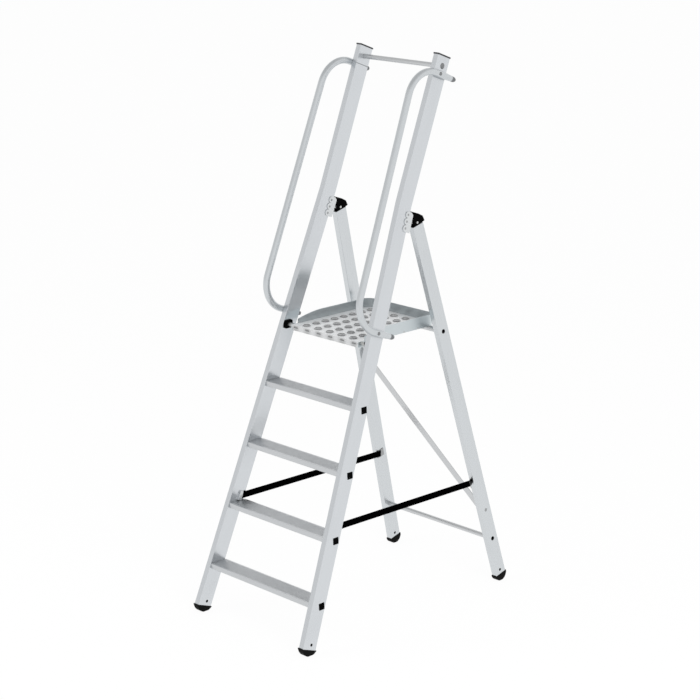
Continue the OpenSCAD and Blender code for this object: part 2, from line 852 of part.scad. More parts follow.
module handrail_end_plugs() {
    bore = rail_end_d - 2 * rail_wall - 2 * fit;
    color("dimgray") both_sides() on_rail() for (z = [0, rail_length])
        translate([0, rail_end, z]) rotate([-90, 0, 0]) {
            cylinder(h = rail_plug_head, d1 = rail_end_d, d2 = rail_end_d - 2 * rail_plug_taper);
            translate([0, 0, -rail_plug]) cylinder(h = rail_plug, d = bore);
        }
}

// Hinges

// Lobed side plates, joined behind the stile
module bracket_outline_2d() {
    low = rivet_middle - bracket_rivet_pitch;
    translate([rivet_back, low - bracket_lobe])
        square([bracket_rear - rivet_back, 2 * (bracket_rivet_pitch + bracket_lobe)]);
    for (k = [-1:1]) translate([rivet_back, rivet_middle + k * bracket_rivet_pitch]) circle(r = bracket_lobe);
}

// Room that the hinge head needs in front of it, up the rear leg from the pin
module head_room_2d() {
    front = -head_front - run_gap;
    beak = -head_beak - run_gap;
    polygon([
        [front, -head_drop],
        [front, head_top * beak_root_share],
        [beak, head_top],
        [beak, head_top + over],
        [head_back, head_top + over],
        [head_back, -head_drop]
    ]);
}

module hinge_bracket() {
    low = rivet_middle - bracket_rivet_pitch - bracket_lobe - over;
    high = rivet_middle + bracket_rivet_pitch + bracket_lobe + over;
    difference() {
        union() {
            difference() {
                along_stile() intersection() {
                    stile_slab(-stile_thick - bracket_plate, bracket_plate, [0, bracket_rear], low, high);
                    plate_x(0, far) bracket_outline_2d();
                }
                along_stile() stile_slab(-stile_thick, 0, [-over, stile_depth], low - over, high + over);
                along_leg() plate_x(0, far) head_room_2d();
            }
            along_stile() plate_x(hinge_x - tongue_thick / 2, hinge_x + tongue_thick / 2) {
                translate([stile_depth + bracket_plate, hinge_along - tongue_radius])
                    square([hinge_back - stile_depth - bracket_plate, 2 * tongue_radius]);
                translate([hinge_back, hinge_along]) circle(r = tongue_radius);
            }
        }
        for (k = [-1:1]) hinge_rivet_shank(rivet_middle + k * bracket_rivet_pitch, fit);
        hinge_pin_shank(fit);
    }
}

module hinge_pin_shank(gap) {
    along_leg() rod_x(hinge_x - leg_thick / 2, hinge_x + leg_thick / 2, hinge_pin_d + 2 * gap);
}

module hinge_bracket_right() {
    color("whitesmoke") hinge_bracket();
}

module hinge_bracket_left() {
    color("whitesmoke") mirror([1, 0, 0]) hinge_bracket();
}

module hinge_rivets() {
    color("darkgray") both_sides() for (k = [-1:1]) {
        along = rivet_middle + k * bracket_rivet_pitch;
        hinge_rivet_shank(along, 0);
        on_stile(along, rivet_back) {
            dome_x(off_stile(bracket_plate), rivet_head_d, rivet_head_h);
            mirror([1, 0, 0]) dome_x(off_stile(stile_thick + bracket_plate), rivet_head_d, rivet_head_h);
        }
    }
}

module hinge_pins() {
    color("silver") both_sides() {
        hinge_pin_shank(0);
        along_leg() translate([hinge_x, 0, 0]) both_sides()
            dome_x(leg_thick / 2, hinge_pin_d, hinge_pin_dome);
    }
}

// Plastic fork that rides on the rear leg and straddles the bracket's tongue
module hinge_head() {
    skin = leg_wall + fit;
    slot = tongue_thick / 2 + run_gap;
    difference() {
        along_leg() {
            difference() {
                plate_x(hinge_x - leg_thick / 2, hinge_x + leg_thick / 2) polygon([
                    [-head_front, -head_drop],
                    [-head_front, head_top * beak_root_share],
                    [-head_beak, head_top],
                    [head_back * head_shoulder_shares[0], head_top * head_shoulder_shares[1]],
                    [head_back * head_corner_shares[0], head_top * head_corner_shares[1]],
                    [head_back, -head_drop * head_heel_share],
                    [head_back * head_toe_share, -head_drop]
                ]);
                translate([hinge_x - slot, -far, -head_drop]) cube([2 * slot, 2 * far, far]);
            }
            leg_slab(-leg_thick + skin, -skin, [skin - leg_depth / 2, leg_depth / 2 - skin],
                head_drop, head_drop + head_plug);
        }
        hinge_pin_shank(fit);
    }
}

module hinge_head_right() {
    color("black") hinge_head();
}

module hinge_head_left() {
    color("black") mirror([1, 0, 0]) hinge_head();
}

// Platform

module platform_2d(half, rear, corner) {
    translate([-half, platform_front]) square([2 * half, rear - corner - platform_front]);
    translate([corner - half, platform_front]) square([2 * (half - corner), rear - platform_front]);
    for (side = [-1, 1]) translate([side * (half - corner), rear - corner]) circle(r = corner);
}

module lip_slot_2d() {
    reach = (lip_slot_length - lip_slot_height) / 2;
    translate([-reach, -lip_slot_height / 2]) square([2 * reach, lip_slot_height]);
    for (side = [-1, 1]) translate([side * reach, 0]) circle(d = lip_slot_height);
}

module deck_holes(d, from, height) {
    for (column = [-hole_columns:hole_columns], row = [0:hole_rows])
        translate([column * hole_pitch_x, platform_front + hole_first + row * hole_pitch_y, from])
            cylinder(h = height, d = d);
}

module deck() {
    color("lightgray") in_frame() {
        difference() {
            union() {
                translate([0, 0, deck_z - sheet]) linear_extrude(sheet)
                    platform_2d(deck_half, deck_rear, toe_corner - sheet - sheet_gap);
                deck_holes(hole_d + 2 * rim_wall, deck_z - sheet, sheet + rim_height);
                for (side = [0, 1]) mirror([side, 0, 0])
                    translate([deck_half - sheet, flange_front, deck_z - flange_drop])
                        cube([sheet, flange_rear - flange_front, flange_drop - sheet]);
            }
            deck_holes(hole_d, deck_z - sheet - over, sheet + rim_height + 2 * over);
            both_sides() platform_rivet_shanks(fit);
        }
        difference() {
            plate_y(platform_front, platform_front + sheet) polygon([
                [-deck_half, deck_z - sheet],
                [deck_half, deck_z - sheet],
                [deck_half - lip_taper, deck_z - lip_height],
                [lip_taper - deck_half, deck_z - lip_height]
            ]);
            plate_y(platform_front - over, platform_front + lip_slot_depth)
                for (column = [1:slot_columns], side = [-1, 1])
                    translate([side * (column - 1 / 2) * hole_pitch_x, deck_z - lip_slot_drop]) lip_slot_2d();
        }
    }
}

module platform_rivet_shanks(gap) {
    step = (flange_rear - flange_front) / platform_rivet_count;
    for (k = [1:platform_rivet_count])
        translate([0, flange_front + (k - 1 / 2) * step, platform_rivet_z])
            rod_x(deck_half - sheet, platform_half, rivet_d + 2 * gap);
}

// Side view of the toe board, with its sinking front and the ear that holds the pivot
module toe_side_2d() {
    translate([toe_fall_start, toe_low]) square([platform_rear - toe_fall_start, toe_high - toe_low]);
    translate([platform_front, toe_low]) square([toe_fall_length, toe_drop]);
    intersection() {
        translate([platform_front + toe_front, toe_low])
            square([toe_fall_length - toe_front, toe_high - toe_low]);
        translate([toe_fall_start, toe_high - toe_fall_radius]) circle(r = toe_fall_radius);
    }
    translate([platform_front, deck_z - lip_height]) square([ear_length, lip_height - toe_drop]);
}

module toe_board() {
    low = deck_z - lip_height;
    color("lightsteelblue") difference() {
        in_frame() intersection() {
            translate([0, 0, low]) linear_extrude(toe_high - low) difference() {
                platform_2d(platform_half, platform_rear, toe_corner);
                platform_2d(platform_half - sheet, platform_rear - sheet, toe_corner - sheet);
            }
            plate_x(-far, far) toe_side_2d();
        }
        both_sides() {
            pivot_pin_shank(fit);
            in_frame() platform_rivet_shanks(fit);
        }
    }
}

module platform_rivets() {
    step = (flange_rear - flange_front) / platform_rivet_count;
    color("darkgray") both_sides() in_frame() {
        platform_rivet_shanks(0);
        for (k = [1:platform_rivet_count])
            translate([0, flange_front + (k - 1 / 2) * step, platform_rivet_z])
                dome_x(platform_half, rivet_d + sheet, rivet_head_h);
    }
}

// Bearing block between the stile and the platform's front corner
module pivot_block() {
    difference() {
        intersection() {
            in_frame() translate([0, pivot_y - block_front, pivot_z - block_drop])
                plate_x(stile_in(pivot_along) - block_thick, far)
                    round_box_2d([block_length, block_height], block_corner);
            along_stile() stile_slab(-stile_in(0), -stile_thick, [-far, far], 0, stile_kink);
        }
        pivot_pin_shank(fit);
    }
}

module pivot_block_right() {
    color("black") pivot_block();
}

module pivot_block_left() {
    color("black") mirror([1, 0, 0]) pivot_block();
}

module pivot_pins() {
    color("silver") both_sides() {
        pivot_pin_shank(0);
        in_frame() translate([0, pivot_y, pivot_z]) {
            rod_x(platform_half + run_gap, stile_in(pivot_along) - block_thick, pivot_collar_d);
            rod_x(stile_in(pivot_along) + nut_end - nut_thick, stile_in(pivot_along) + nut_end, bolt_head_d);
        }
    }
}

// Straps

module strap_clip() {
    difference() {
        along_stile() intersection() {
            stile_slab(-stile_in(0), -stile_thick, [clip_back, clip_back + clip_length],
                clip_along - clip_height / 2, clip_along + clip_height / 2);
            translate([strap_x - strap_thick - clip_cover, -far, 0]) cube([far, 2 * far, far]);
        }
        strap_band(fit);
        strap_rivet_shank(fit);
    }
}

module strap_clips() {
    color("silver") both_sides() strap_clip();
}

module strap_rivets() {
    color("darkgray") both_sides() {
        strap_rivet_shank(0);
        along_stile() translate([0, strap_rivet_back, clip_along]) {
            mirror([1, 0, 0]) dome_x(strap_thick + clip_cover - strap_x, rivet_head_d, rivet_head_h);
            rod_x(stile_in(clip_along) + nut_end - nut_thick, stile_in(clip_along) + nut_end, rivet_head_d);
        }
    }
}

// A taut band from inside the clip to the plate on the leg's inner face
module strap() {
    difference() {
        strap_band(0);
        strap_rivet_shank(fit);
    }
}

module strap_right() {
    color("black") strap();
}

module strap_left() {
    color("black") mirror([1, 0, 0]) strap();
}

// Plate on the leg's inner face, against which the strap's end lies
module strap_anchor() {
    difference() {
        along_leg() leg_slab(-leg_thick - anchor_plate, -leg_thick,
            [-leg_depth / 2, anchor_length - leg_depth / 2],
            anchor_down - anchor_height / 2, anchor_down + anchor_height / 2);
        anchor_rivet_shank(fit);
    }
}

module strap_anchors() {
    color("silver") both_sides() strap_anchor();
}

module anchor_rivets() {
    color("darkgray") both_sides() {
        anchor_rivet_shank(0);
        on_leg(anchor_down, anchor_rivet_back) {
            mirror([1, 0, 0]) dome_x(off_leg(leg_thick + anchor_plate), rivet_head_d, rivet_head_h);
            rod_x(-off_leg(leg_thick - leg_wall), nut_thick - off_leg(leg_thick - leg_wall), rivet_head_d);
        }
    }
}

// Rear frame

module rear_leg(brace_rivet_down) {
    difference() {
        along_leg() difference() {
            leg_slab(-leg_thick, 0, [-leg_depth / 2, leg_depth / 2], head_drop, leg_end);
            leg_slab(-leg_thick + leg_wall, -leg_wall, [leg_wall - leg_depth / 2, leg_depth / 2 - leg_wall],
                head_drop - over, leg_end + over);
        }
        leg_bolt_shank(rest_down, fit);
        leg_bolt_shank(crossbar_down, fit);
        brace_rivet_shank(brace_rivet_down, fit);
        anchor_rivet_shank(fit);
        rear_foot_screw_shank(fit);
    }
}

module rear_leg_right() {
    color("gainsboro") rear_leg(brace_rivet_low);
}

module rear_leg_left() {
    color("gainsboro") mirror([1, 0, 0]) rear_leg(brace_high);
}

// A bar across the rear frame, cut off by the legs' inner faces and tapped for its bolts
module leg_bar(down, d) {
    difference() {
        along_leg() intersection() {
            translate([0, 0, -down]) rod_x(-far, far, d);
            between_legs();
        }
        both_sides() leg_bolt_shank(down, fit);
    }
}

module leg_bolts(down) {
    both_sides() {
        leg_bolt_shank(down, 0);
        on_leg(down, 0) dome_x(0, leg_cap_d, bolt_head_h);
    }
}

module rest_tube() {
    color("silver") leg_bar(rest_down, rest_tube_d);
}

module rest_tube_bolts() {
    color("black") leg_bolts(rest_down);
}

module lower_crossbar() {
    color("silver") leg_bar(crossbar_down, crossbar_d);
}

module crossbar_bolts() {
    color("black") leg_bolts(crossbar_down);
}

module brace_tab_slab(down) {
    leg_slab(-leg_thick - brace_thick, -leg_thick, [-brace_front - brace_thick, brace_front + brace_thick],
        down - brace_tab / 2, down + brace_tab / 2);
}

// A flat bar from the left leg, high, to the right leg, low, with a bent tab on each
module diagonal_brace() {
    left = [-leg_in(brace_high), -brace_high];
    right = [leg_in(brace_low), -brace_low];
    slope = atan2(right[1] - left[1], right[0] - left[0]);
    color("silver") difference() {
        along_leg() {
            intersection() {
                plate_y(-brace_front - brace_thick, -brace_front) translate(left) rotate(slope)
                    translate([-brace_width, -brace_width / 2])
                        square([norm(right - left) + 2 * brace_width, brace_width]);
                between_legs();
            }
            brace_tab_slab(brace_low);
            mirror([1, 0, 0]) brace_tab_slab(brace_high);
        }
        brace_rivet_shank(brace_rivet_low, fit);
        mirror([1, 0, 0]) brace_rivet_shank(brace_high, fit);
    }
}

module brace_rivet(down) {
    brace_rivet_shank(down, 0);
    on_leg(down, 0) {
        dome_x(0, brace_head_d, rivet_head_h);
        mirror([1, 0, 0]) dome_x(off_leg(leg_thick + brace_thick), brace_head_d, rivet_head_h);
    }
}

module brace_rivets() {
    color("darkgray") {
        brace_rivet(brace_rivet_low);
        mirror([1, 0, 0]) brace_rivet(brace_high);
    }
}

module rear_foot() {
    skin = leg_wall + fit;
    inner = leg_in(leg_end) - foot_lip;
    outer = leg_out(leg_end) + foot_lip;
    difference() {
        union() {
            intersection() {
                along_leg() intersection() {
                    translate([0, 0, -leg_end]) rod_x(inner, outer, 2 * rear_foot_radius);
                    translate([0, -far, -leg_end - far]) cube([far, 2 * far, far]);
                }
                above_floor();
            }
            along_leg() leg_slab(-leg_thick + skin, -skin, [skin - leg_depth / 2, leg_depth / 2 - skin],
                leg_end - rear_foot_plug, leg_end);
        }
        rear_foot_screw_shank(fit);
    }
}

module rear_foot_right() {
    color("black") rear_foot();
}

module rear_foot_left() {
    color("black") mirror([1, 0, 0]) rear_foot();
}

module rear_foot_screws() {
    color("dimgray") both_sides() {
        rear_foot_screw_shank(0);
        on_leg(leg_end - rear_foot_screw_up, 0) {
            dome_x(0, foot_head_d, rivet_head_h);
            mirror([1, 0, 0]) dome_x(off_leg(leg_thick), foot_head_d, rivet_head_h);
        }
    }
}

stile_left();
stile_right();
stile_caps();
tread_1();
tread_2();
tread_3();
tread_4();
tread_plugs();
front_foot_left();
front_foot_right();
front_foot_screws();
top_bar();
top_bar_screws();
handrail_left();
handrail_right();
handrail_bolts();
handrail_end_plugs();
hinge_bracket_left();
hinge_bracket_right();
hinge_rivets();
hinge_pins();
pivot_block_left();
pivot_block_right();
pivot_pins();
strap_clips();
strap_rivets();
strap_left();
strap_right();
deck();
toe_board();
platform_rivets();
rear_leg_left();
rear_leg_right();
hinge_head_left();
hinge_head_right();
rest_tube();
rest_tube_bolts();
lower_crossbar();
crossbar_bolts();
diagonal_brace();
brace_rivets();
rear_foot_left();
rear_foot_right();
rear_foot_screws();
strap_anchors();
anchor_rivets();
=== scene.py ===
"""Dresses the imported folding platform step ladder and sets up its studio.

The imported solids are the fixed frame. This script rounds their edges, weaves the two straps, gives every
piece a finish made of shader nodes, and adds the floor, the light and the camera.
"""

import json
import logging
import math
from dataclasses import dataclass
from enum import Enum
from functools import cache
from typing import Union

import bmesh
import bpy
from mathutils import Matrix, Vector

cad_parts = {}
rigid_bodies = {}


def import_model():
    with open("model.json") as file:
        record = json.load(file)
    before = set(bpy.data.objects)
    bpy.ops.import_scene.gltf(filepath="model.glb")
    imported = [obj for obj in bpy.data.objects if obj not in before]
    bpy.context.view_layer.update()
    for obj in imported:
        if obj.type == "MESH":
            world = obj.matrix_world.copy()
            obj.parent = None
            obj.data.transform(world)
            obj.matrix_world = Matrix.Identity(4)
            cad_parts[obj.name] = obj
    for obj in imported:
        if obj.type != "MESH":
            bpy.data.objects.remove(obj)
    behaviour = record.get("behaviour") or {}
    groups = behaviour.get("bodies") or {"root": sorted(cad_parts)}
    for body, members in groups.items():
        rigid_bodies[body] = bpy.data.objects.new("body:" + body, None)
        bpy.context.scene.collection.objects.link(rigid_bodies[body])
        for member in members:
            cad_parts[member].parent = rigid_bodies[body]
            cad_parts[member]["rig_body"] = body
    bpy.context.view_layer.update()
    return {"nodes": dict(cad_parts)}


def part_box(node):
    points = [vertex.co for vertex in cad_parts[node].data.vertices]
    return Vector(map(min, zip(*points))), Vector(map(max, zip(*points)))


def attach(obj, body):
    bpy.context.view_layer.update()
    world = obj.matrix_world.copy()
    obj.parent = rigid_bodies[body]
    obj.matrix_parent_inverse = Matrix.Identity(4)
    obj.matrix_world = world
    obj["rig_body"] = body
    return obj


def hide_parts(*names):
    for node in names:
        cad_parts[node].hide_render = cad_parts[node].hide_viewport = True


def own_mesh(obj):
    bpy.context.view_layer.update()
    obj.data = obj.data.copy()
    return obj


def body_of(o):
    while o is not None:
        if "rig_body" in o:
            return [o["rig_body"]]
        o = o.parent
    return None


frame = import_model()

LOG = logging.getLogger("step_ladder")
SIDES = ("left", "right")
MM = 0.001
# How far the rear frame swings forward when it folds.
FOLD = math.radians(30)
NOISE_MIDDLE = 0.5

Node = bpy.types.Node
Socket = bpy.types.NodeSocket
Piece = bpy.types.Object
Edge = bmesh.types.BMEdge
Colour = tuple[float, float, float]
Number = Union["Value", float]
Given = Union["Value", Socket, float, tuple]
Triple = tuple["Value", "Value", "Value"]
Settings = dict[str, object]
Sockets = dict[str | int, Given]


@dataclass(frozen=True)
class Ramp:
    """A smooth step: 0 up to one number, and 1 from another."""

    low: float
    high: float

    @classmethod
    def past(cls, place: float, blur: float) -> "Ramp":
        """A step that starts at a place and ends a little past it."""
        return cls(place, place + blur)


class Value:
    """A number that varies over a surface. Sums and products of values add Math nodes."""

    def __init__(self, recipe: "Recipe", socket: Socket) -> None:
        """Keeps the recipe that the number belongs to and the socket that gives it."""
        self.recipe = recipe
        self.socket = socket

    def _math(self, operation: str, first: Number, second: Number = 0.0) -> "Value":
        """Adds one Math node and takes its result."""
        return self.recipe.value("ShaderNodeMath", 0, {"operation": operation}, {0: first, 1: second})

    def __add__(self, other: Number) -> "Value":
        """This number plus another."""
        return self._math("ADD", self, other)

    def __radd__(self, other: Number) -> "Value":
        """Another number plus this one."""
        return self._math("ADD", other, self)

    def __sub__(self, other: Number) -> "Value":
        """This number less another."""
        return self._math("SUBTRACT", self, other)

    def __rsub__(self, other: Number) -> "Value":
        """Another number less this one."""
        return self._math("SUBTRACT", other, self)

    def __mul__(self, other: Number) -> "Value":
        """This number times another."""
        return self._math("MULTIPLY", self, other)

    def __rmul__(self, other: Number) -> "Value":
        """Another number times this one."""
        return self._math("MULTIPLY", other, self)

    def __pow__(self, other: Number) -> "Value":
        """This number to a power."""
        return self._math("POWER", self, other)

    def __abs__(self) -> "Value":
        """This number without its sign."""
        return self._math("ABSOLUTE", self)

    def above(self, floor: Number) -> "Value":
        """This number, or the floor where that is more."""
        return self._math("MAXIMUM", self, floor)

    def below(self, top: Number) -> "Value":
        """This number, or the top where that is less."""
        return self._math("MINIMUM", self, top)

    def centred(self) -> "Value":
        """This number less one half, which noise keeps about."""
        return self - NOISE_MIDDLE

    def off_grid(self, pitch: float) -> "Value":
        """How far this number is from the nearest whole multiple of a pitch."""
        return self - self._math("SNAP", self + pitch / 2, pitch)

    def spread(self, ramp: Ramp) -> "Value":
        """0 where this number is at the ramp's low end, rising smoothly to 1 at its high end."""
        settings = {"interpolation_type": "SMOOTHSTEP", "clamp": True}
        return self.recipe.value("ShaderNodeMapRange", 0, settings, {0: self, 1: ramp.low, 2: ramp.high})


class Recipe:
    """The shader nodes of one finish, of the floor or of the world."""

    OPEN_SAMPLES = 6
    EDGE_SAMPLES = 4
    EDGE_BEND = Ramp(0.01, 0.2)
    # The Mix node's sockets for its share, its two colours and the mixed colour.
    MIX_SHARE, MIX_FIRST, MIX_SECOND, MIX_RESULT = 0, 6, 7, 2

    def __init__(self, tree: bpy.types.NodeTree) -> None:
        """Empties the tree that the nodes go into."""
        self.tree = tree
        tree.nodes.clear()

    def fill(self, node: Node, sockets: Sockets) -> None:
        """Sets input sockets of a node.

        Args:
            node: the node.
            sockets: what each socket takes, a link or a plain value.
        """
        for key, given in sockets.items():
            source = given.socket if isinstance(given, Value) else given
            if isinstance(source, Socket):
                self.tree.links.new(source, node.inputs[key])
            else:
                node.inputs[key].default_value = source

    def add(self, kind: str, settings: Settings | None = None, sockets: Sockets | None = None) -> Node:
        """Adds one node.

        Args:
            kind: the node's type.
            settings: its own settings, which are set first.
            sockets: what each input socket takes.

        Returns:
            The node.
        """
        node = self.tree.nodes.new(kind)
        for name, setting in (settings or {}).items():
            setattr(node, name, setting)
        self.fill(node, sockets or {})
        return node

    def value(
        self, kind: str, output: str | int, settings: Settings | None = None, sockets: Sockets | None = None
    ) -> Value:
        """Adds one node, as add does, and takes a number from one of its outputs."""
        return Value(self, self.add(kind, settings, sockets).outputs[output])

    def split(self, vector: Socket) -> Triple:
        """The three numbers of a vector."""
        parts = self.add("ShaderNodeSeparateXYZ", None, {0: vector}).outputs
        return Value(self, parts[0]), Value(self, parts[1]), Value(self, parts[2])

    def place(self) -> Triple:
        """The point on the piece at rest, in metres."""
        return self.split(self.add("ShaderNodeTexCoord").outputs["Object"])

    def facing(self) -> Triple:
        """The direction that the surface faces on the piece at rest: right, back and up."""
        return self.split(self.add("ShaderNodeTexCoord").outputs["Normal"])

    def point(self, x: Number, y: Number, z: Number) -> Socket:
        """A vector of three numbers."""
        return self.add("ShaderNodeCombineXYZ", None, {0: x, 1: y, 2: z}).outputs[0]

    def noise(self, point: Socket, scale: float, detail: float) -> Value:
        """Cloudy noise about one half, whose scale is its features for each unit of the point."""
        sockets = {"Vector": point, "Scale": scale, "Detail": detail}
        return self.value("ShaderNodeTexNoise", "Fac", None, sockets)

    def mix(self, share: Number, first: Given, second: Given) -> Socket:
        """A colour between two colours.

        Args:
            share: 0 for the first and 1 for the second.
            first: a colour or a socket.
            second: a colour or a socket.

        Returns:
            The mixed colour.
        """
        sides = [(*side, 1.0) if isinstance(side, tuple) else side for side in (first, second)]
        settings = {"data_type": "RGBA", "clamp_factor": True}
        sockets = {self.MIX_SHARE: share, self.MIX_FIRST: sides[0], self.MIX_SECOND: sides[1]}
        return self.add("ShaderNodeMix", settings, sockets).outputs[self.MIX_RESULT]

    def open_share(self, reach: float) -> Value:
        """How open the surface is to its surroundings, from 0 in a narrow groove to 1."""
        settings = {"samples": self.OPEN_SAMPLES}
        return self.value("ShaderNodeAmbientOcclusion", "AO", settings, {"Distance": reach})

    def edge_share(self, radius: float) -> Value:
        """How near the surface is to an edge.

        Args:
            radius: how far from the edge it begins to count, in metres.

        Returns:
            A number from 0 on a flat to 1 on an edge.
        """
        settings = {"samples": self.EDGE_SAMPLES}
        rounded = self.add("ShaderNodeBevel", settings, {"Radius": radius}).outputs[0]
        flat = self.add("ShaderNodeNewGeometry").outputs["Normal"]
        product = {"operation": "DOT_PRODUCT"}
        alike = self.value("ShaderNodeVectorMath", "Value", product, {0: rounded, 1: flat})
        return (1.0 - alike).spread(self.EDGE_BEND)

    def bump(self, height: Value, depth: float, strength: float) -> Socket:
        """A normal that follows a height from 0 to 1, where 1 is so many metres deep."""
        sockets = {"Height": height, "Distance": depth, "Strength": strength}
        return self.add("ShaderNodeBump", None, sockets).outputs[0]


class Grain(Enum):
    """The line that a piece was drawn, rolled or brushed along."""

    STILE = "stile"
    LEG = "leg"
    ACROSS = "across"


@dataclass(frozen=True)
class Lean:
    """A leaning pair of profiles, as the line that each one follows."""

    angle: float
    start_y: float
    start_z: float
    taper: float
    taper_end: float

    def run(self, recipe: Recipe) -> Triple:
        """The point on the profile.

        Args:
            recipe: the recipe that the numbers are for.

        Returns:
            Its place across the face, front to back, and along the profile, in metres.
        """
        x, y, z = recipe.place()
        back = y - self.start_y
        up = z - self.start_z
        along = back * math.sin(self.angle) + up * math.cos(self.angle)
        deep = back * math.cos(self.angle) - up * math.sin(self.angle)
        across = abs(x) - (self.taper_end - along).above(0.0) * self.taper
        return across, deep, along


STILE_LEAN = Lean(angle=math.radians(20.6), start_y=-0.597575, start_z=0.0, taper=0.0556, taper_end=1.79)
LEG_LEAN = Lean(angle=math.radians(-15.4), start_y=0.128054, start_z=1.58291, taper=0.059, taper_end=0.0)


@dataclass(frozen=True)
class Streak:
    """Cloudy noise that is drawn out along the grain, with its features for each metre."""

    across: float
    along: float
    detail: float

    def read(self, recipe: Recipe, run: Triple) -> Value:
        """The noise at two places across the grain and one along it, in metres."""
        point = recipe.point(run[0] * self.across, run[1] * self.across, run[2] * self.along)
        return recipe.noise(point, 1.0, self.detail)


@dataclass(frozen=True)
class Scuffs:
    """Short faint scratches at a slant to the grain, with their features for each metre."""

    fine: float = 500.0
    slant: float = 160.0
    deep: float = 30.0
    along: float = 14.0
    detail: float = 2.0
    strong: Ramp = Ramp(0.66, 0.8)

    def read(self, recipe: Recipe, run: Triple) -> Value:
        """The scratches at a point.

        Args:
            recipe: the recipe that the number is for.
            run: two places across the grain and one along it, in metres.

        Returns:
            A number from 0 to 1 in a scratch.
        """
        first, second, along = run
        slanted = (first + second) * self.fine + along * self.slant
        point = recipe.point(slanted, second * self.deep, along * self.along)
        return recipe.noise(point, 1.0, self.detail).spread(self.strong)


@dataclass(frozen=True)
class Tint:
    """A lighter or darker shade of a finish, and how much of it shows where its mask is full."""

    share: float
    factor: float


@dataclass(frozen=True)
class Finish:
    """The common part of every finish: its name, colour and gloss."""

    name: str
    colour: Colour
    roughness: float
    metallic: float = 0.0
    specular: float = 0.5

    @cache
    def material(self) -> bpy.types.Material:
        """The finish's material, made at its first use.

        Returns:
            The material.
        """
        made = bpy.data.materials.new(self.name)
        made.use_nodes = True
        recipe = Recipe(made.node_tree)
        sockets = {"Metallic": self.metallic, "Specular IOR Level": self.specular}
        shader = recipe.add("ShaderNodeBsdfPrincipled", None, sockets)
        self.mix_in(recipe, shader)
        recipe.add("ShaderNodeOutputMaterial", None, {0: shader.outputs[0]})
        return made

    def mix_in(self, recipe: Recipe, shader: Node) -> None:
        """Feeds the shader's colour, roughness and normal."""
        raise NotImplementedError

    def shade(self, factor: float) -> Colour:
        """The finish's colour, lighter or darker."""
        return tuple(min(1.0, part * factor) for part in self.colour)

    def vary(self, recipe: Recipe, share: Value, contrast: float) -> Socket:
        """The finish's colour, darker where a share is 0 and lighter where it is 1."""
        return recipe.mix(share, self.shade(1.0 - contrast), self.shade(1.0 + contrast))

    def lay(self, recipe: Recipe, tone: Socket, mask: Value, tint: Tint) -> Socket:
        """Lays a shade of the finish over its colour so far, where a mask says."""
        return recipe.mix(mask * tint.share, tone, self.shade(tint.factor))


@dataclass(frozen=True)
class Drawn(Finish):
    """Aluminium that was drawn or rolled: fine lines along the piece, faint scuffs and bright edges."""

    metallic: float = 1.0
    grain: Grain = Grain.ACROSS
    line_width: float = 0.7 * MM
    line_length: float = 160 * MM
    line_detail: float = 3.0
    line_contrast: float = 0.045
    line_gloss: float = 0.14
    line_height: float = 0.7
    line_depth: float = 0.05 * MM
    bump: float = 0.35
    bands: Streak = Streak(60.0, 3.0, 1.0)
    band_ramp: Ramp = Ramp(0.25, 0.75)
    band_tint: Tint = Tint(0.5, 1.02)
    handling: Streak = Streak(9.0, 5.0, 4.0)
    handling_ramp: Ramp = Ramp(0.5, 0.75)
    handling_tint: Tint = Tint(0.3, 0.95)
    handling_gloss: float = 0.12
    scuffs: Scuffs = Scuffs()
    scuff_tint: Tint = Tint(0.35, 1.12)
    scuff_gloss: float = 0.06
    scuff_height: float = 0.3
    edge: float = 1.5 * MM
    edge_tint: Tint = Tint(0.5, 1.14)
    edge_gloss: float = 0.08
    # painted shade: corners and creases that close in the surface are drawn darker
    corner_reach: float = 14 * MM
    corner_ramp: Ramp = Ramp(0.15, 0.95)
    corner_shade_tint: Tint = Tint(0.42, 0.45)

    def run(self, recipe: Recipe) -> Triple:
        """The point on the piece.

        Args:
            recipe: the material's recipe.

        Returns:
            Two places across the grain and one along it, in metres.
        """
        if self.grain is Grain.STILE:
            return STILE_LEAN.run(recipe)
        if self.grain is Grain.LEG:
            return LEG_LEAN.run(recipe)
        x, y, z = recipe.place()
        return y, z, x

    def mix_in(self, recipe: Recipe, shader: Node) -> None:
        """Feeds the shader with drawn lines, scuffs, painted shade in corners and bright edges.

        Args:
            recipe: the material's recipe.
            shader: its surface.
        """
        run = self.run(recipe)
        lines = Streak(1.0 / self.line_width, 1.0 / self.line_length, self.line_detail).read(recipe, run)
        bands = self.bands.read(recipe, run)
        handling = self.handling.read(recipe, run)
        scuffs = self.scuffs.read(recipe, run)
        edge = recipe.edge_share(self.edge)
        # painted shade: darker where the surface is closed in, as in corners
        corner = 1.0 - recipe.open_share(self.corner_reach).spread(self.corner_ramp)
        tone = self.vary(recipe, lines, self.line_contrast)
        tone = self.lay(recipe, tone, bands.spread(self.band_ramp), self.band_tint)
        tone = self.lay(recipe, tone, handling.spread(self.handling_ramp), self.handling_tint)
        tone = self.lay(recipe, tone, scuffs, self.scuff_tint)
        tone = self.mark(recipe, tone)
        tone = self.lay(recipe, tone, edge, self.edge_tint)
        tone = self.lay(recipe, tone, corner, self.corner_shade_tint)
        gloss = self.roughness + lines.centred() * self.line_gloss - edge * self.edge_gloss
        gloss = gloss + handling.centred() * self.handling_gloss - scuffs * self.scuff_gloss
        height = lines * self.line_height - scuffs * self.scuff_height
        normal = recipe.bump(height, self.line_depth, self.bump)
        recipe.fill(shader, {"Base Color": tone, "Roughness": gloss, "Normal": normal})

    def mark(self, recipe: Recipe, tone: Socket) -> Socket:
        """Adds what only this kind of piece shows, which on a plain one is nothing."""
        return tone


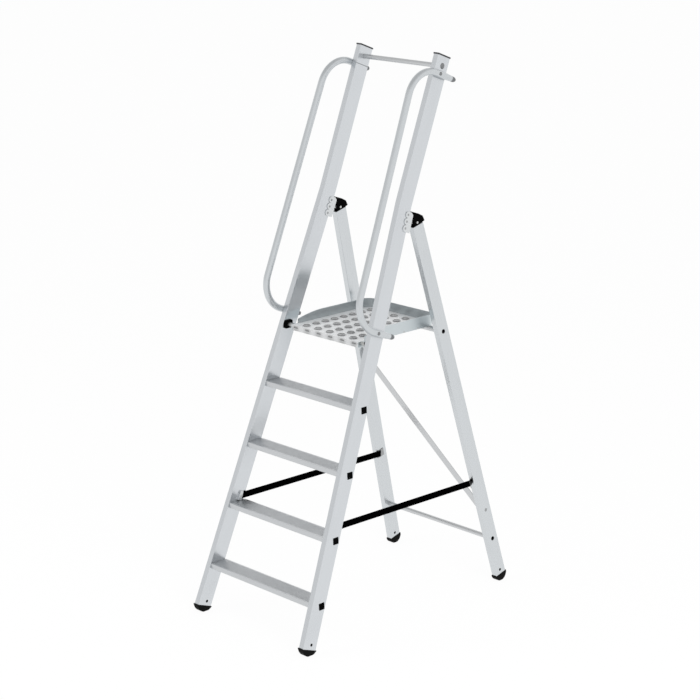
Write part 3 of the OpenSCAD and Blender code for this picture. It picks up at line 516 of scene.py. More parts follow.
@dataclass(frozen=True)
class Jointed(Drawn):
    """A drawn stile with a thin dark seam across its inner face."""

    grain: Grain = Grain.STILE
    seam: float = 2.305
    seam_ramp: Ramp = Ramp(1 * MM, 2.4 * MM)
    seam_shade: float = 0.45
    inner_face: Ramp = Ramp(0.1, 0.15)

    def mark(self, recipe: Recipe, tone: Socket) -> Socket:
        """Draws the seam.

        Args:
            recipe: the material's recipe.
            tone: the colour so far.

        Returns:
            The new colour.
        """
        inward = (recipe.place()[0] * recipe.facing()[0] * -1.0).spread(self.inner_face)
        line = 1.0 - abs(self.run(recipe)[2] - self.seam).spread(self.seam_ramp)
        return recipe.mix(line * inward, tone, self.shade(self.seam_shade))


@dataclass(frozen=True)
class TopLitTread(Drawn):
    """A drawn tread with painted light on what faces up."""

    # painted light: how much lighter the upward faces are drawn
    top: float = 1.1
    upward: Ramp = Ramp(0.5, 0.9)

    def mark(self, recipe: Recipe, tone: Socket) -> Socket:
        """Paints light on the upward face, the one that is stood on."""
        return recipe.mix(recipe.facing()[2].spread(self.upward), tone, self.shade(self.top))


@dataclass(frozen=True)
class Fenced(Drawn):
    """A rolled strip round the platform, with painted shade on the side that faces the platform's middle."""

    line_width: float = 1.2 * MM
    line_length: float = 90 * MM
    # painted shade: how dark the faces towards the platform's middle are drawn
    inside: float = 0.82
    middle_y: float = 60 * MM
    inner_face: Ramp = Ramp(0.01, 0.05)
    leaning: Ramp = Ramp(0.4, 0.8)

    def mark(self, recipe: Recipe, tone: Socket) -> Socket:
        """Paints shade on the inner faces.

        Args:
            recipe: the material's recipe.
            tone: the colour so far.

        Returns:
            The new colour.
        """
        x, y, _ = recipe.place()
        right, back, up = recipe.facing()
        inward = (x * right + (y - self.middle_y) * back) * -1.0
        upright = 1.0 - abs(up).spread(self.leaning)
        return recipe.mix(inward.spread(self.inner_face) * upright, tone, self.shade(self.inside))


@dataclass(frozen=True)
class Sleeved(Drawn):
    """A bent rail whose rear ends are darker."""

    grain: Grain = Grain.STILE
    sleeve: float = 87 * MM
    sleeve_blur: float = 1 * MM
    sleeve_shade: float = 0.32

    def mark(self, recipe: Recipe, tone: Socket) -> Socket:
        """Darkens the rear ends."""
        end = self.run(recipe)[1].spread(Ramp.past(self.sleeve, self.sleeve_blur))
        return recipe.mix(end, tone, self.shade(self.sleeve_shade))


@dataclass(frozen=True)
class Punched(Drawn):
    """Rolled sheet with rows of round holes and a lip of pressed slots, with painted shade in both."""

    line_width: float = 1.2 * MM
    line_length: float = 60 * MM
    pitch_x: float = 66 * MM
    pitch_y: float = 51.5 * MM
    first_y: float = -129.18 * MM
    collar: float = 17 * MM
    collar_blur: float = 1 * MM
    collar_side: Ramp = Ramp(-2 * MM, 2 * MM)
    leaning: Ramp = Ramp(0.3, 0.7)
    # painted shade on the collars' inner and outer walls
    inner_shade: float = 0.42
    outer_shade: float = 0.26
    lip_front: float = -159.18 * MM
    lip_sheet: float = 2 * MM
    lip_blur: float = 0.2 * MM
    lip_face: Ramp = Ramp(0.5, 0.9)
    # painted shade on the lip's front and in its dents; the slots take the outer walls' shade
    lip_shade: float = 0.74
    slot_floor: float = 1.2 * MM
    dent_width: Ramp = Ramp(4 * MM, 28 * MM)
    dent_shade: float = 0.52

    def mark(self, recipe: Recipe, tone: Socket) -> Socket:
        """Paints shade on the collars of the holes and on the lip."""
        return self.mark_lip(recipe, self.mark_collars(recipe, tone))

    def mark_collars(self, recipe: Recipe, tone: Socket) -> Socket:
        """Paints shade on the upright walls of the holes' collars.

        Args:
            recipe: the material's recipe.
            tone: the colour so far.

        Returns:
            The new colour.
        """
        x, y, _ = recipe.place()
        right, back, up = recipe.facing()
        off_x = x.off_grid(self.pitch_x)
        off_y = (y - self.first_y).off_grid(self.pitch_y)
        apart = (off_x * off_x + off_y * off_y) ** 0.5
        near = 1.0 - apart.spread(Ramp.past(self.collar, self.collar_blur))
        upright = 1.0 - abs(up).spread(self.leaning)
        outward = (off_x * right + off_y * back).spread(self.collar_side)
        wall = recipe.mix(outward, self.shade(self.inner_shade), self.shade(self.outer_shade))
        return recipe.mix(near * upright, tone, wall)

    def mark_lip(self, recipe: Recipe, tone: Socket) -> Socket:
        """Paints shade on the lip's front, the dents round its slots and the slots.

        Args:
            recipe: the material's recipe.
            tone: the colour so far.

        Returns:
            The new colour.
        """
        x, y, _ = recipe.place()
        forward = recipe.facing()[1] * -1.0
        depth = y - self.lip_front
        in_sheet = 1.0 - depth.spread(Ramp.past(self.lip_sheet, self.lip_blur))
        on_lip = in_sheet * forward.spread(self.lip_face)
        off_slot = abs((x - self.pitch_x / 2).off_grid(self.pitch_x))
        dented = 1.0 - off_slot.spread(self.dent_width)
        face = recipe.mix(dented, self.shade(self.lip_shade), self.shade(self.dent_shade))
        tone = recipe.mix(on_lip, tone, face)
        in_slot = depth.spread(Ramp.past(self.slot_floor, self.lip_blur))
        return recipe.mix(on_lip * in_slot, tone, self.shade(self.outer_shade))


@dataclass(frozen=True)
class Cast(Finish):
    """Bright die casting: mottled, with a fine grain, painted shade in its hollows and bright edges."""

    metallic: float = 1.0
    grain_size: float = 0.8 * MM
    grain_detail: float = 2.0
    grain_depth: float = 0.04 * MM
    bump: float = 0.5
    mottle_size: float = 6 * MM
    mottle_detail: float = 3.0
    mottle_dark: float = 0.93
    mottle_light: float = 1.05
    mottle_gloss: float = 0.25
    hollow_reach: float = 4 * MM
    hollow_ramp: Ramp = Ramp(0.2, 0.9)
    hollow_shade_share: float = 0.7
    # dull is the colour of the painted shade in hollows
    dull: Colour = (0.5, 0.52, 0.52)
    edge: float = 0.8 * MM
    edge_tint: Tint = Tint(0.5, 1.2)
    edge_gloss: float = 0.1

    def mix_in(self, recipe: Recipe, shader: Node) -> None:
        """Feeds the shader with mottling, a cast grain and painted shade in its hollows.

        Args:
            recipe: the material's recipe.
            shader: its surface.
        """
        place = recipe.point(*recipe.place())
        grain = recipe.noise(place, 1.0 / self.grain_size, self.grain_detail)
        mottle = recipe.noise(place, 1.0 / self.mottle_size, self.mottle_detail)
        edge = recipe.edge_share(self.edge)
        # painted shade: darker where the surface is closed in
        hollow = 1.0 - recipe.open_share(self.hollow_reach).spread(self.hollow_ramp)
        tone = recipe.mix(mottle, self.shade(self.mottle_dark), self.shade(self.mottle_light))
        tone = recipe.mix(hollow * self.hollow_shade_share, tone, self.dull)
        tone = self.lay(recipe, tone, edge, self.edge_tint)
        gloss = self.roughness + mottle.centred() * self.mottle_gloss - edge * self.edge_gloss
        normal = recipe.bump(grain, self.grain_depth, self.bump)
        recipe.fill(shader, {"Base Color": tone, "Roughness": gloss, "Normal": normal})


@dataclass(frozen=True)
class Plated(Cast):
    """Plated or blackened steel, with a finer grain than a casting."""

    grain_size: float = 0.5 * MM
    mottle_size: float = 3 * MM


@dataclass(frozen=True)
class Moulded(Finish):
    """Moulded plastic or rubber: a fine spark texture, rubbed edges and a little dust."""

    texture_size: float = 0.6 * MM
    texture_detail: float = 2.0
    texture_depth: float = 0.06 * MM
    bump: float = 0.5
    cloud_rate: float = 60.0
    cloud_detail: float = 4.0
    cloud_contrast: float = 0.15
    cloud_gloss: float = 0.2
    edge: float = 1.2 * MM
    rubbed: float = 1.4
    rubbed_share: float = 0.6
    edge_gloss: float = 0.1
    upward: Ramp = Ramp(0.3, 0.9)
    dust: float = 0.1
    dust_ramp: Ramp = Ramp(0.45, 0.75)
    dust_colour: Colour = (0.16, 0.155, 0.145)
    dust_gloss: float = 0.3
    floor_dust: float = 0.0
    floor_dust_ramp: Ramp = Ramp(0.35, 0.7)
    near_floor: Ramp = Ramp(2 * MM, 14 * MM)

    def mix_in(self, recipe: Recipe, shader: Node) -> None:
        """Feeds the shader with the mould's texture, rubbed edges and dust on what faces up.

        Args:
            recipe: the material's recipe.
            shader: its surface.
        """
        x, y, z = recipe.place()
        place = recipe.point(x, y, z)
        texture = recipe.noise(place, 1.0 / self.texture_size, self.texture_detail)
        cloud = recipe.noise(place, self.cloud_rate, self.cloud_detail)
        edge = recipe.edge_share(self.edge)
        dust = recipe.facing()[2].spread(self.upward) * cloud.spread(self.dust_ramp) * self.dust
        if self.floor_dust:
            low = 1.0 - z.spread(self.near_floor)
            dust = dust + low * cloud.spread(self.floor_dust_ramp) * self.floor_dust
        tone = self.vary(recipe, cloud, self.cloud_contrast)
        tone = self.lay(recipe, tone, edge, Tint(self.rubbed_share, self.rubbed))
        tone = recipe.mix(dust, tone, self.dust_colour)
        gloss = self.roughness + cloud.centred() * self.cloud_gloss
        gloss = gloss - edge * self.edge_gloss + dust * self.dust_gloss
        normal = recipe.bump(texture, self.texture_depth, self.bump)
        recipe.fill(shader, {"Base Color": tone, "Roughness": gloss, "Normal": normal})


@dataclass(frozen=True)
class Woven(Finish):
    """Polyester webbing: fine fibres along the band and slightly paler patches."""

    fibre_along: float = 400.0
    fibre_across: float = 4000.0
    fibre_detail: float = 2.0
    fibre_dark: float = 0.7
    fibre_light: float = 1.5
    fibre_gloss: float = 0.2
    fibre_depth: float = 0.08 * MM
    bump: float = 0.6
    patch_along: float = 25.0
    patch_across: float = 60.0
    patch_detail: float = 3.0
    patch_ramp: Ramp = Ramp(0.5, 0.8)
    patch_tint: Tint = Tint(0.4, 1.9)

    def mix_in(self, recipe: Recipe, shader: Node) -> None:
        """Feeds the shader from the band's own length and width, so that it moves with the band.

        Args:
            recipe: the material's recipe.
            shader: its surface.
        """
        along, across, _ = recipe.split(recipe.add("ShaderNodeUVMap").outputs[0])
        fine = recipe.point(along * self.fibre_along, across * self.fibre_across, 0.0)
        fibre = recipe.noise(fine, 1.0, self.fibre_detail)
        broad = recipe.point(along * self.patch_along, across * self.patch_across, 0.0)
        patch = recipe.noise(broad, 1.0, self.patch_detail)
        tone = recipe.mix(fibre, self.shade(self.fibre_dark), self.shade(self.fibre_light))
        tone = self.lay(recipe, tone, patch.spread(self.patch_ramp), self.patch_tint)
        gloss = self.roughness + fibre.centred() * self.fibre_gloss
        normal = recipe.bump(fibre, self.fibre_depth, self.bump)
        recipe.fill(shader, {"Base Color": tone, "Roughness": gloss, "Normal": normal})


SATIN_STILE = Jointed("satin_stile", (0.650, 0.674, 0.698), roughness=0.24, bump=0.2)
SATIN_LEG = Drawn("satin_leg", (0.632, 0.658, 0.676), roughness=0.26, grain=Grain.LEG, bump=0.2)
RIBBED_TREAD = TopLitTread("ribbed_tread", (0.60, 0.615, 0.63), roughness=0.4)
ROLLED_DECK = Punched("rolled_deck", (0.86, 0.87, 0.88), roughness=0.46, metallic=0.45)
ROLLED_BOARD = Fenced("rolled_board", (0.61, 0.66, 0.68), roughness=0.36)
BENT_TUBE = Sleeved("bent_tube", (0.606, 0.632, 0.65), roughness=0.3, bump=0.06)
CROSS_TUBE = Drawn("cross_tube", (0.60, 0.612, 0.622), roughness=0.32, bump=0.08)
# In the casting and steel finishes below, dull is the colour of the painted shade in their hollows.
BRIGHT_CASTING = Cast("bright_casting", (0.71, 0.73, 0.74), roughness=0.4)
SATIN_CLIP = Cast(
    "satin_clip", (0.64, 0.655, 0.67), roughness=0.28, mottle_size=3 * MM, dull=(0.4, 0.41, 0.42)
)
ZINC_STEEL = Plated("zinc_steel", (0.55, 0.56, 0.55), roughness=0.36, dull=(0.25, 0.25, 0.24))
DULL_STEEL = Plated("dull_steel", (0.38, 0.39, 0.395), roughness=0.42, dull=(0.2, 0.2, 0.2))
GREY_STEEL = Plated("grey_steel", (0.2, 0.205, 0.21), roughness=0.38, metallic=0.6, dull=(0.1, 0.1, 0.1))
BLACK_STEEL = Plated(
    "black_steel",
    (0.004, 0.004, 0.004),
    roughness=0.4,
    metallic=0.0,
    specular=0.05,
    dull=(0.002, 0.002, 0.002),
)
BLACK_PLASTIC = Moulded(
    "black_plastic", (0.0012, 0.0012, 0.0013), roughness=0.5, specular=0.015, rubbed=1.6, dust=0.03
)
DARK_PLASTIC = Moulded("dark_plastic", (0.045, 0.047, 0.05), roughness=0.5, specular=0.25)
GREY_PLASTIC = Moulded("grey_plug", (0.125, 0.129, 0.134), roughness=0.5, specular=0.25)
BLACK_RUBBER = Moulded(
    "black_rubber",
    (0.002, 0.002, 0.002),
    roughness=0.62,
    specular=0.08,
    rubbed=1.2,
    dust=0.04,
    floor_dust=0.03,
)
BLACK_WEBBING = Woven("black_webbing", (0.0005, 0.0005, 0.0006), roughness=0.8, specular=0.0)


def paint(piece: Piece, finish: Finish) -> None:
    """Gives a piece one finish in place of whatever it had.

    Args:
        piece: the piece.
        finish: its finish.
    """
    if not piece.material_slots:
        piece.data.materials.append(finish.material())
    for slot in piece.material_slots:
        slot.material = finish.material()


def settle(piece: Piece, body: str, finish: Finish) -> None:
    """Puts a new piece on its body and in its finish.

    Args:
        piece: the new piece.
        body: the body that it moves with.
        finish: its finish.
    """
    paint(piece, finish)
    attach(piece, body)
    LOG.info("%s rides on %s as %s", piece.name, body, finish.name)


def new_piece(name: str, mesh: bpy.types.Mesh) -> Piece:
    """A piece that holds a mesh.

    Args:
        name: the piece's name.
        mesh: its mesh, in the row frame.

    Returns:
        The piece, in the scene.
    """
    piece = bpy.data.objects.new(name, mesh)
    bpy.context.scene.collection.objects.link(piece)
    return piece


@dataclass(frozen=True)
class Rounding:
    """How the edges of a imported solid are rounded: the radius, and how long an edge must be to take it."""

    radius: float
    least: float
    steps: int = 3
    profile: float = 0.5
    sharp: float = math.radians(35)
    crease: float = math.radians(40)
    weld: float = 0.002 * MM
    flat: float = math.radians(0.4)

    def wants(self, edge: Edge) -> bool:
        """Whether an outer corner is to be rounded, which here each one is."""
        return True

    def takes(self, edge: Edge) -> bool:
        """Whether an edge is a wanted outer corner that is long enough.

        Args:
            edge: the edge.

        Returns:
            True for an edge to round.
        """
        if not edge.is_manifold or not edge.is_convex:
            return False
        return edge.calc_face_angle() > self.sharp and edge.calc_length() >= self.least and self.wants(edge)

    def shape(self, node: str, name: str) -> bpy.types.Mesh:
        """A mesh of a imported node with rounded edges.

        Args:
            node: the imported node.
            name: the mesh's name.

        Returns:
            The mesh.
        """
        shape = bmesh.new()
        shape.from_mesh(frame["nodes"][node].data)
        bmesh.ops.remove_doubles(shape, verts=shape.verts, dist=self.weld)
        bmesh.ops.dissolve_limit(shape, angle_limit=self.flat, verts=shape.verts, edges=shape.edges)
        bmesh.ops.bevel(
            shape,
            geom=[edge for edge in shape.edges if self.takes(edge)],
            offset=self.radius,
            offset_type="OFFSET",
            segments=self.steps,
            profile=self.profile,
            affect="EDGES",
            clamp_overlap=False,
        )
        bmesh.ops.triangulate(shape, faces=[face for face in shape.faces if len(face.verts) > 4])
        mesh = bpy.data.meshes.new(name)
        shape.to_mesh(mesh)
        shape.free()
        return mesh

    def apply(self, node: str, name: str) -> Piece:
        """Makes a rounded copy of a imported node, which stands for it.

        Args:
            node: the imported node.
            name: the new piece's name.

        Returns:
            The new piece.
        """
        mesh = self.shape(node, name)
        for stale in ("custom_normal", "sharp_edge", "sharp_face"):
            if stale in mesh.attributes:
                mesh.attributes.remove(mesh.attributes[stale])
        mesh.materials.clear()
        mesh.shade_smooth()
        mesh.set_sharp_from_angle(angle=self.crease)
        piece = new_piece(name, mesh)
        weighted = piece.modifiers.new("even_faces", "WEIGHTED_NORMAL")
        weighted.keep_sharp = True
        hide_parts(node)
        return piece


@dataclass(frozen=True)
class NosingRounding(Rounding):
    """Rounds a tread's front and rear edges and leaves its grip grooves sharp."""

    front: float = 0.0
    rear: float = 0.0
    reach: float = 1 * MM

    def wants(self, edge: Edge) -> bool:
        """Whether the whole edge lies at the tread's front or rear."""
        places = [vert.co.y for vert in edge.verts]
        return max(places) < self.front + self.reach or min(places) > self.rear - self.reach


@dataclass(frozen=True)
class SoleRounding(Rounding):
    """Rounds the edges between a foot's sides and its curved underside."""

    sideways: float = 0.9
    downward: float = -0.2

    def wants(self, edge: Edge) -> bool:
        """Whether the edge runs between a side and the underside.

        Args:
            edge: the edge.

        Returns:
            True for such an edge.
        """
        sides = [abs(face.normal.x) > self.sideways for face in edge.link_faces]
        lowest = min(face.normal.z for face in edge.link_faces)
        return sides.count(True) == 1 and lowest < self.downward


Coat = tuple[str, Finish]
PROFILE_EDGES = Rounding(1.8 * MM, 200 * MM)
CAP_EDGES = Rounding(0.7 * MM, 15 * MM)
FOOT_EDGES = SoleRounding(1.2 * MM, 0.5 * MM)


@dataclass
class Assembly:
    """A sub-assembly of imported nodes, each with a record slot and a finish, and some with rounded edges."""

    def coats(self) -> dict[str, Coat]:
        """The record slot and the finish of each node."""
        raise NotImplementedError

    def roundings(self) -> dict[str, Rounding]:
        """How the edges of some nodes are rounded."""
        raise NotImplementedError

    def build(self) -> None:
        """Makes the rounded copies, which stand for their nodes."""
        coats = self.coats()
        for node, rounding in self.roundings().items():
            slot, finish = coats[node]
            body = body_of(frame["nodes"][node])[0]
            settle(rounding.apply(node, f"{node}_rounded"), body, finish)

    def dress(self) -> None:
        """Gives every other node its finish."""
        rounded = self.roundings()
        for node, (_, finish) in self.coats().items():
            if node not in rounded:
                paint(frame["nodes"][node], finish)
                LOG.info("%s keeps its solid as %s", node, finish.name)


@dataclass
class FrontFrame(Assembly):
    """The front frame: stiles, treads, handrails, hinge brackets, feet and their fasteners."""

    treads: tuple[str, ...] = ("tread_1", "tread_2", "tread_3", "tread_4")
    nosing_radius: float = 1.2 * MM
    nosing_least: float = 100 * MM
    block_edges: Rounding = Rounding(1.2 * MM, 3 * MM)
    plug_edges: Rounding = Rounding(0.6 * MM, 10 * MM)

    def coats(self) -> dict[str, Coat]:
        """The record slot and the finish of each node.

        Returns:
            The coats by node.
        """
        coats = {tread: ("tread", RIBBED_TREAD) for tread in self.treads}
        for side in SIDES:
            coats[f"stile_{side}"] = ("profile", SATIN_STILE)
            coats[f"handrail_{side}"] = ("tube", BENT_TUBE)
            coats[f"front_foot_{side}"] = ("rubber", BLACK_RUBBER)
            coats[f"hinge_bracket_{side}"] = ("casting", BRIGHT_CASTING)
            coats[f"pivot_block_{side}"] = ("black_plastic", BLACK_PLASTIC)
        coats |= {node: ("black_steel", GREY_STEEL) for node in ("handrail_bolts", "top_bar_screws")}
        coats |= {node: ("zinc_steel", ZINC_STEEL) for node in ("hinge_pins", "pivot_pins", "strap_rivets")}
        coats["front_foot_screws"] = ("black_steel", BLACK_STEEL)
        coats["hinge_rivets"] = ("zinc_steel", DULL_STEEL)
        coats["stile_caps"] = ("grey_plastic", DARK_PLASTIC)
        coats["handrail_end_plugs"] = ("grey_plastic", GREY_PLASTIC)
        coats["tread_plugs"] = ("black_plastic", BLACK_PLASTIC)
        coats["top_bar"] = ("tube", CROSS_TUBE)
        coats["strap_clips"] = ("casting", SATIN_CLIP)
        return coats

    def roundings(self) -> dict[str, Rounding]:
        """How the edges of some nodes are rounded.

        Returns:
            The roundings by node.
        """
        rounded = {}
        for tread in self.treads:
            low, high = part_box(tread)
            rounded[tread] = NosingRounding(self.nosing_radius, self.nosing_least, front=low.y, rear=high.y)
        for side in SIDES:
            rounded[f"stile_{side}"] = PROFILE_EDGES
            rounded[f"front_foot_{side}"] = FOOT_EDGES
            rounded[f"pivot_block_{side}"] = self.block_edges
        return rounded | {"stile_caps": CAP_EDGES, "tread_plugs": self.plug_edges}


@dataclass
class Platform(Assembly):
    """The platform: deck, toe board and the rivets between them."""

    board_edges: Rounding = Rounding(0.9 * MM, 60 * MM)

    def coats(self) -> dict[str, Coat]:
        """The record slot and the finish of each node.

        Returns:
            The coats by node.
        """
        return {
            "deck": ("sheet", ROLLED_DECK),
            "toe_board": ("sheet", ROLLED_BOARD),
            "platform_rivets": ("zinc_steel", ZINC_STEEL),
        }

    def roundings(self) -> dict[str, Rounding]:
        """How the toe board's edges are rounded."""
        return {"toe_board": self.board_edges}


@dataclass
class RearFrame(Assembly):
    """The rear frame: legs, hinge heads, cross tubes, brace, feet and their fasteners."""

    head_edges: Rounding = Rounding(1.5 * MM, 3 * MM)

    def coats(self) -> dict[str, Coat]:
        """The record slot and the finish of each node.

        Returns:
            The coats by node.
        """
        tubes = ("rest_tube", "lower_crossbar", "diagonal_brace")
        coats = {node: ("tube", CROSS_TUBE) for node in tubes}
        coats |= {node: ("black_plastic", BLACK_PLASTIC) for node in ("rest_tube_bolts", "crossbar_bolts")}
        dull = ("brace_rivets", "strap_anchors", "anchor_rivets")
        coats |= {node: ("zinc_steel", DULL_STEEL) for node in dull}
        coats["rear_foot_screws"] = ("black_steel", BLACK_STEEL)
        for side in SIDES:
            coats[f"rear_leg_{side}"] = ("profile", SATIN_LEG)
            coats[f"hinge_head_{side}"] = ("black_plastic", BLACK_PLASTIC)
            coats[f"rear_foot_{side}"] = ("rubber", BLACK_RUBBER)
        return coats

    def roundings(self) -> dict[str, Rounding]:
        """How the edges of some nodes are rounded.

        Returns:
            The roundings by node.
        """
        rounded = {"strap_anchors": CAP_EDGES}
        for side in SIDES:
            rounded[f"rear_leg_{side}"] = PROFILE_EDGES
            rounded[f"hinge_head_{side}"] = self.head_edges
            rounded[f"rear_foot_{side}"] = FOOT_EDGES
        return rounded


@dataclass
class Strap:
    """One woven strap from its clip on a stile to its anchor on a rear leg."""

    side: str
    start: Vector
    end: Vector
    width: float = 27.8 * MM
    thick: float = 1.9 * MM
    pick: float = 1.6 * MM
    relief: float = 0.22 * MM
    yarns: int = 16

    @classmethod
    def like_solid(cls, side: str, end_zone: float = 2 * MM, short: float = 0.5 * MM) -> "Strap":
        """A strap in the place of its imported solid.

        Args:
            side: left or right.
            end_zone: how far from the solid's ends its end corners may lie.
            short: how much shorter the strap is at each end.

        Returns:
            The strap.
        """
        node = f"strap_{side}"
        low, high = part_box(node)
        corners = [vert.co for vert in frame["nodes"][node].data.vertices]
        front = [corner for corner in corners if corner.y < low.y + end_zone]
        rear = [corner for corner in corners if corner.y > high.y - end_zone]
        start, end = (sum(zone, Vector()) / len(zone) for zone in (front, rear))
        step = (end - start).normalized() * short
        return cls(side, start + step, end - step)

    def build(self) -> Piece:
        """Weaves the band: rows of raised yarns on both faces, with a closed edge.

        Returns:
            The strap's piece.
        """
        length = (self.end - self.start).length
        forward = (self.end - self.start) / length
        upward = Vector((1, 0, 0)).cross(forward).normalized()
        outward = forward.cross(upward)
        rows = round(length / self.pick) * 2
        section = self.section()
        size = len(section)
        points = []
        for row in range(rows + 1):
            centre = self.start + forward * (length * row / rows)
            for place, (out, up) in enumerate(section):
                raised = 1 + self.raised_share(row, place)
                points.append(centre + outward * out * raised + upward * up)
        faces = []
        for row in range(rows):
            for place in range(size):
                near = row * size + place
                next_near = row * size + (place + 1) % size
                faces.append((near, next_near, next_near + size, near + size))
        faces.append(tuple(reversed(range(size))))
        faces.append(tuple(range(rows * size, (rows + 1) * size)))
        mesh = bpy.data.meshes.new(f"strap_{self.side}_webbing")
        mesh.from_pydata(points, [], faces)
        layer = mesh.uv_layers.new(name="band")
        for loop in mesh.loops:
            row, place = divmod(loop.vertex_index, size)
            layer.data[loop.index].uv = (length * row / rows, section[place][1])
        mesh.shade_smooth()
        mesh.validate()
        return new_piece(f"strap_{self.side}_webbing", mesh)

    @property
    def columns(self) -> int:
        """The number of steps across each face."""
        return self.yarns * 2

    def section(self) -> list[tuple[float, float]]:
        """The band's section, once round.

        Returns:
            Points as offsets outwards and upwards.
        """
        half = self.width / 2
        edge = self.thick / 2
        steps = range(self.columns + 1)
        ups = [-half + edge / 2 + (self.width - edge) * step / self.columns for step in steps]
        near = [(edge - self.relief, up) for up in ups]
        far = [(self.relief - edge, up) for up in reversed(ups)]
        return near + [(0.0, half)] + far + [(0.0, -half)]

    def raised_share(self, row: int, place: int) -> float:
        """How far a point of the section is raised, as a share of its offset.

        Args:
            row: the row along the band.
            place: the place in the section.

        Returns:
            A share, 0 in a hollow of the weave.
        """
        far_start = self.columns + 2
        on_near = place <= self.columns
        on_far = far_start <= place <= far_start + self.columns
        step = place if on_near else place - far_start
        if (on_near or on_far) and (row + step) % 2 == 0:
            return self.relief / (self.thick / 2 - self.relief)
        return 0.0

    def folded_share(self) -> float:
        """How much of the strap's reach is left when the rear frame is folded.

        Returns:
            A share of the reach at rest.
        """
        low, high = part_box("hinge_pins")
        hinge = (low + high) / 2
        hinge.x = self.end.x
        folded = hinge + Matrix.Rotation(-FOLD, 3, "X") @ (self.end - hinge)
        return (folded.y - self.start.y) / (self.end.y - self.start.y)

    def dress(self, piece: Piece) -> None:
        """Fixes the strap to its stile, hides its solid and logs how much of its reach is left when the rear
        frame folds.

        Args:
            piece: the strap's piece.
        """
        keep = self.folded_share()
        settle(piece, "front_frame", BLACK_WEBBING)
        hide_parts(f"strap_{self.side}")
        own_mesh(piece)
        LOG.info("%s gathers to %.3f of its reach", piece.name, keep)


def aim(item: bpy.types.Object, direction: Vector) -> None:
    """Turns a lamp or a camera to look in a direction."""
    item.rotation_euler = direction.to_track_quat("-Z", "Y").to_euler()


@dataclass(frozen=True)
class Lamp:
    """One soft lamp, aimed at a point of the ladder."""

    name: str
    place: tuple[float, float, float]
    power: float
    size: float
    target: tuple[float, float, float] = (0.0, 0.0, 1.0)

    def build(self) -> None:
        """Hangs the lamp."""
        data = bpy.data.lights.new(self.name, "AREA")
        data.energy = self.power
        data.shape = "DISK"
        data.size = self.size
        lamp = bpy.data.objects.new(self.name, data)
        bpy.context.scene.collection.objects.link(lamp)
        lamp.location = self.place
        aim(lamp, Vector(self.target) - Vector(self.place))
        lamp.visible_glossy = False


@dataclass(frozen=True)
class Viewpoint:
    """The photograph's camera: what it looks at, from where, and its lens."""

    target: tuple[float, float, float] = (0.1831, -0.1976, 1.1235)
    azimuth: float = math.radians(45.5)
    elevation: float = math.radians(15.5)
    distance: float = 7.726
    lens: float = 103.1
    sensor: float = 36.0
    far: float = 100.0

    def build(self) -> None:
        """Sets up the camera."""
        data = bpy.data.cameras.new("viewpoint")
        data.lens = self.lens
        data.sensor_width = self.sensor
        data.clip_end = self.far
        camera = bpy.data.objects.new("viewpoint", data)
        bpy.context.scene.collection.objects.link(camera)
        level = math.cos(self.elevation)
        right = math.sin(self.azimuth) * level
        front = -math.cos(self.azimuth) * level
        back = Vector((right, front, math.sin(self.elevation)))
        camera.location = Vector(self.target) + back * self.distance
        aim(camera, -back)
        bpy.context.scene.camera = camera


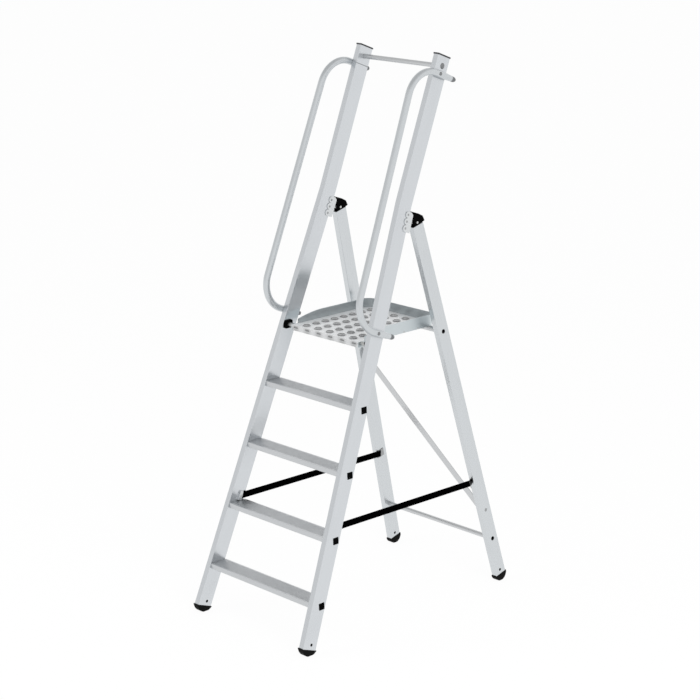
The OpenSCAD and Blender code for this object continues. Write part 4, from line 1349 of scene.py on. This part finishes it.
@dataclass(frozen=True)
class Studio:
    """The white studio: floor, world, lamps and camera."""

    floor_size: float = 60.0
    floor_white: float = 0.94
    shadow_share: float = 0.06
    overhead: Ramp = Ramp(0.3, 0.95)
    overhead_dim: float = 0.35
    corner_lean: float = 0.7
    corner: Ramp = Ramp(0.2, 1.0)
    corner_dim: float = 0.16
    lamps: tuple[Lamp, ...] = (
        Lamp("right_lamp", (4.5, -1.5, 3.6), power=120.0, size=3.5),
        Lamp("front_lamp", (-2.5, -4.5, 3.2), power=70.0, size=3.0),
    )
    viewpoint: Viewpoint = Viewpoint()

    def seen(self, recipe: Recipe) -> Value:
        """Tells what is seen from light that falls on the object.

        Args:
            recipe: the floor's recipe.

        Returns:
            1 for what the camera sees, straight, by reflection or through glass, and 0 for other light.
        """
        path = recipe.add("ShaderNodeLightPath").outputs
        straight, mirrored, passed = (
            Value(recipe, path[f"Is {kind} Ray"]) for kind in ("Camera", "Glossy", "Transmission")
        )
        return (straight + mirrored + passed).below(1.0)

    def floor(self) -> None:
        """Lays a pale floor that shows white and keeps a soft shadow."""
        shape = bmesh.new()
        bmesh.ops.create_grid(shape, x_segments=2, y_segments=2, size=self.floor_size / 2)
        mesh = bpy.data.meshes.new("floor")
        shape.to_mesh(mesh)
        shape.free()
        piece = new_piece("floor", mesh)
        material = bpy.data.materials.new("pale_floor")
        material.use_nodes = True
        recipe = Recipe(material.node_tree)
        pale = (self.floor_white, self.floor_white, self.floor_white, 1.0)
        matt = recipe.add("ShaderNodeBsdfDiffuse", None, {"Color": pale}).outputs[0]
        white = recipe.add("ShaderNodeEmission", None, {"Strength": 1.0}).outputs[0]
        share = self.seen(recipe) * (1.0 - self.shadow_share)
        both = recipe.add("ShaderNodeMixShader", None, {0: share, 1: matt, 2: white})
        recipe.add("ShaderNodeOutputMaterial", None, {0: both.outputs[0]})
        mesh.materials.append(material)

    def world(self) -> None:
        """Sets a soft white world, darker overhead and at the front left, and white to the camera."""
        world = bpy.data.worlds.new("studio")
        bpy.context.scene.world = world
        world.use_nodes = True
        recipe = Recipe(world.node_tree)
        x, y, z = recipe.split(recipe.add("ShaderNodeTexCoord").outputs["Generated"])
        overhead = z.spread(self.overhead) * self.overhead_dim
        front_left = y * -self.corner_lean - x * self.corner_lean
        level = 1.0 - overhead - front_left.spread(self.corner) * self.corner_dim
        straight = recipe.value("ShaderNodeLightPath", "Is Camera Ray")
        strength = straight + (1.0 - straight) * level
        sockets = {"Color": (1.0, 1.0, 1.0, 1.0), "Strength": strength}
        light = recipe.add("ShaderNodeBackground", None, sockets)
        recipe.add("ShaderNodeOutputWorld", None, {0: light.outputs[0]})

    def build(self) -> None:
        """Sets up the whole studio."""
        bpy.context.scene.view_settings.view_transform = "Standard"
        self.viewpoint.build()
        self.floor()
        self.world()
        for lamp in self.lamps:
            lamp.build()


def main() -> None:
    """Builds the studio, then each sub-assembly in order."""
    logging.basicConfig(level=logging.INFO, format="%(name)s: %(message)s")
    Studio().build()
    for assembly in (FrontFrame(), Platform(), RearFrame()):
        assembly.build()
        assembly.dress()
    for side in SIDES:
        strap = Strap.like_solid(side)
        strap.dress(strap.build())


if __name__ == "__main__":
    main()
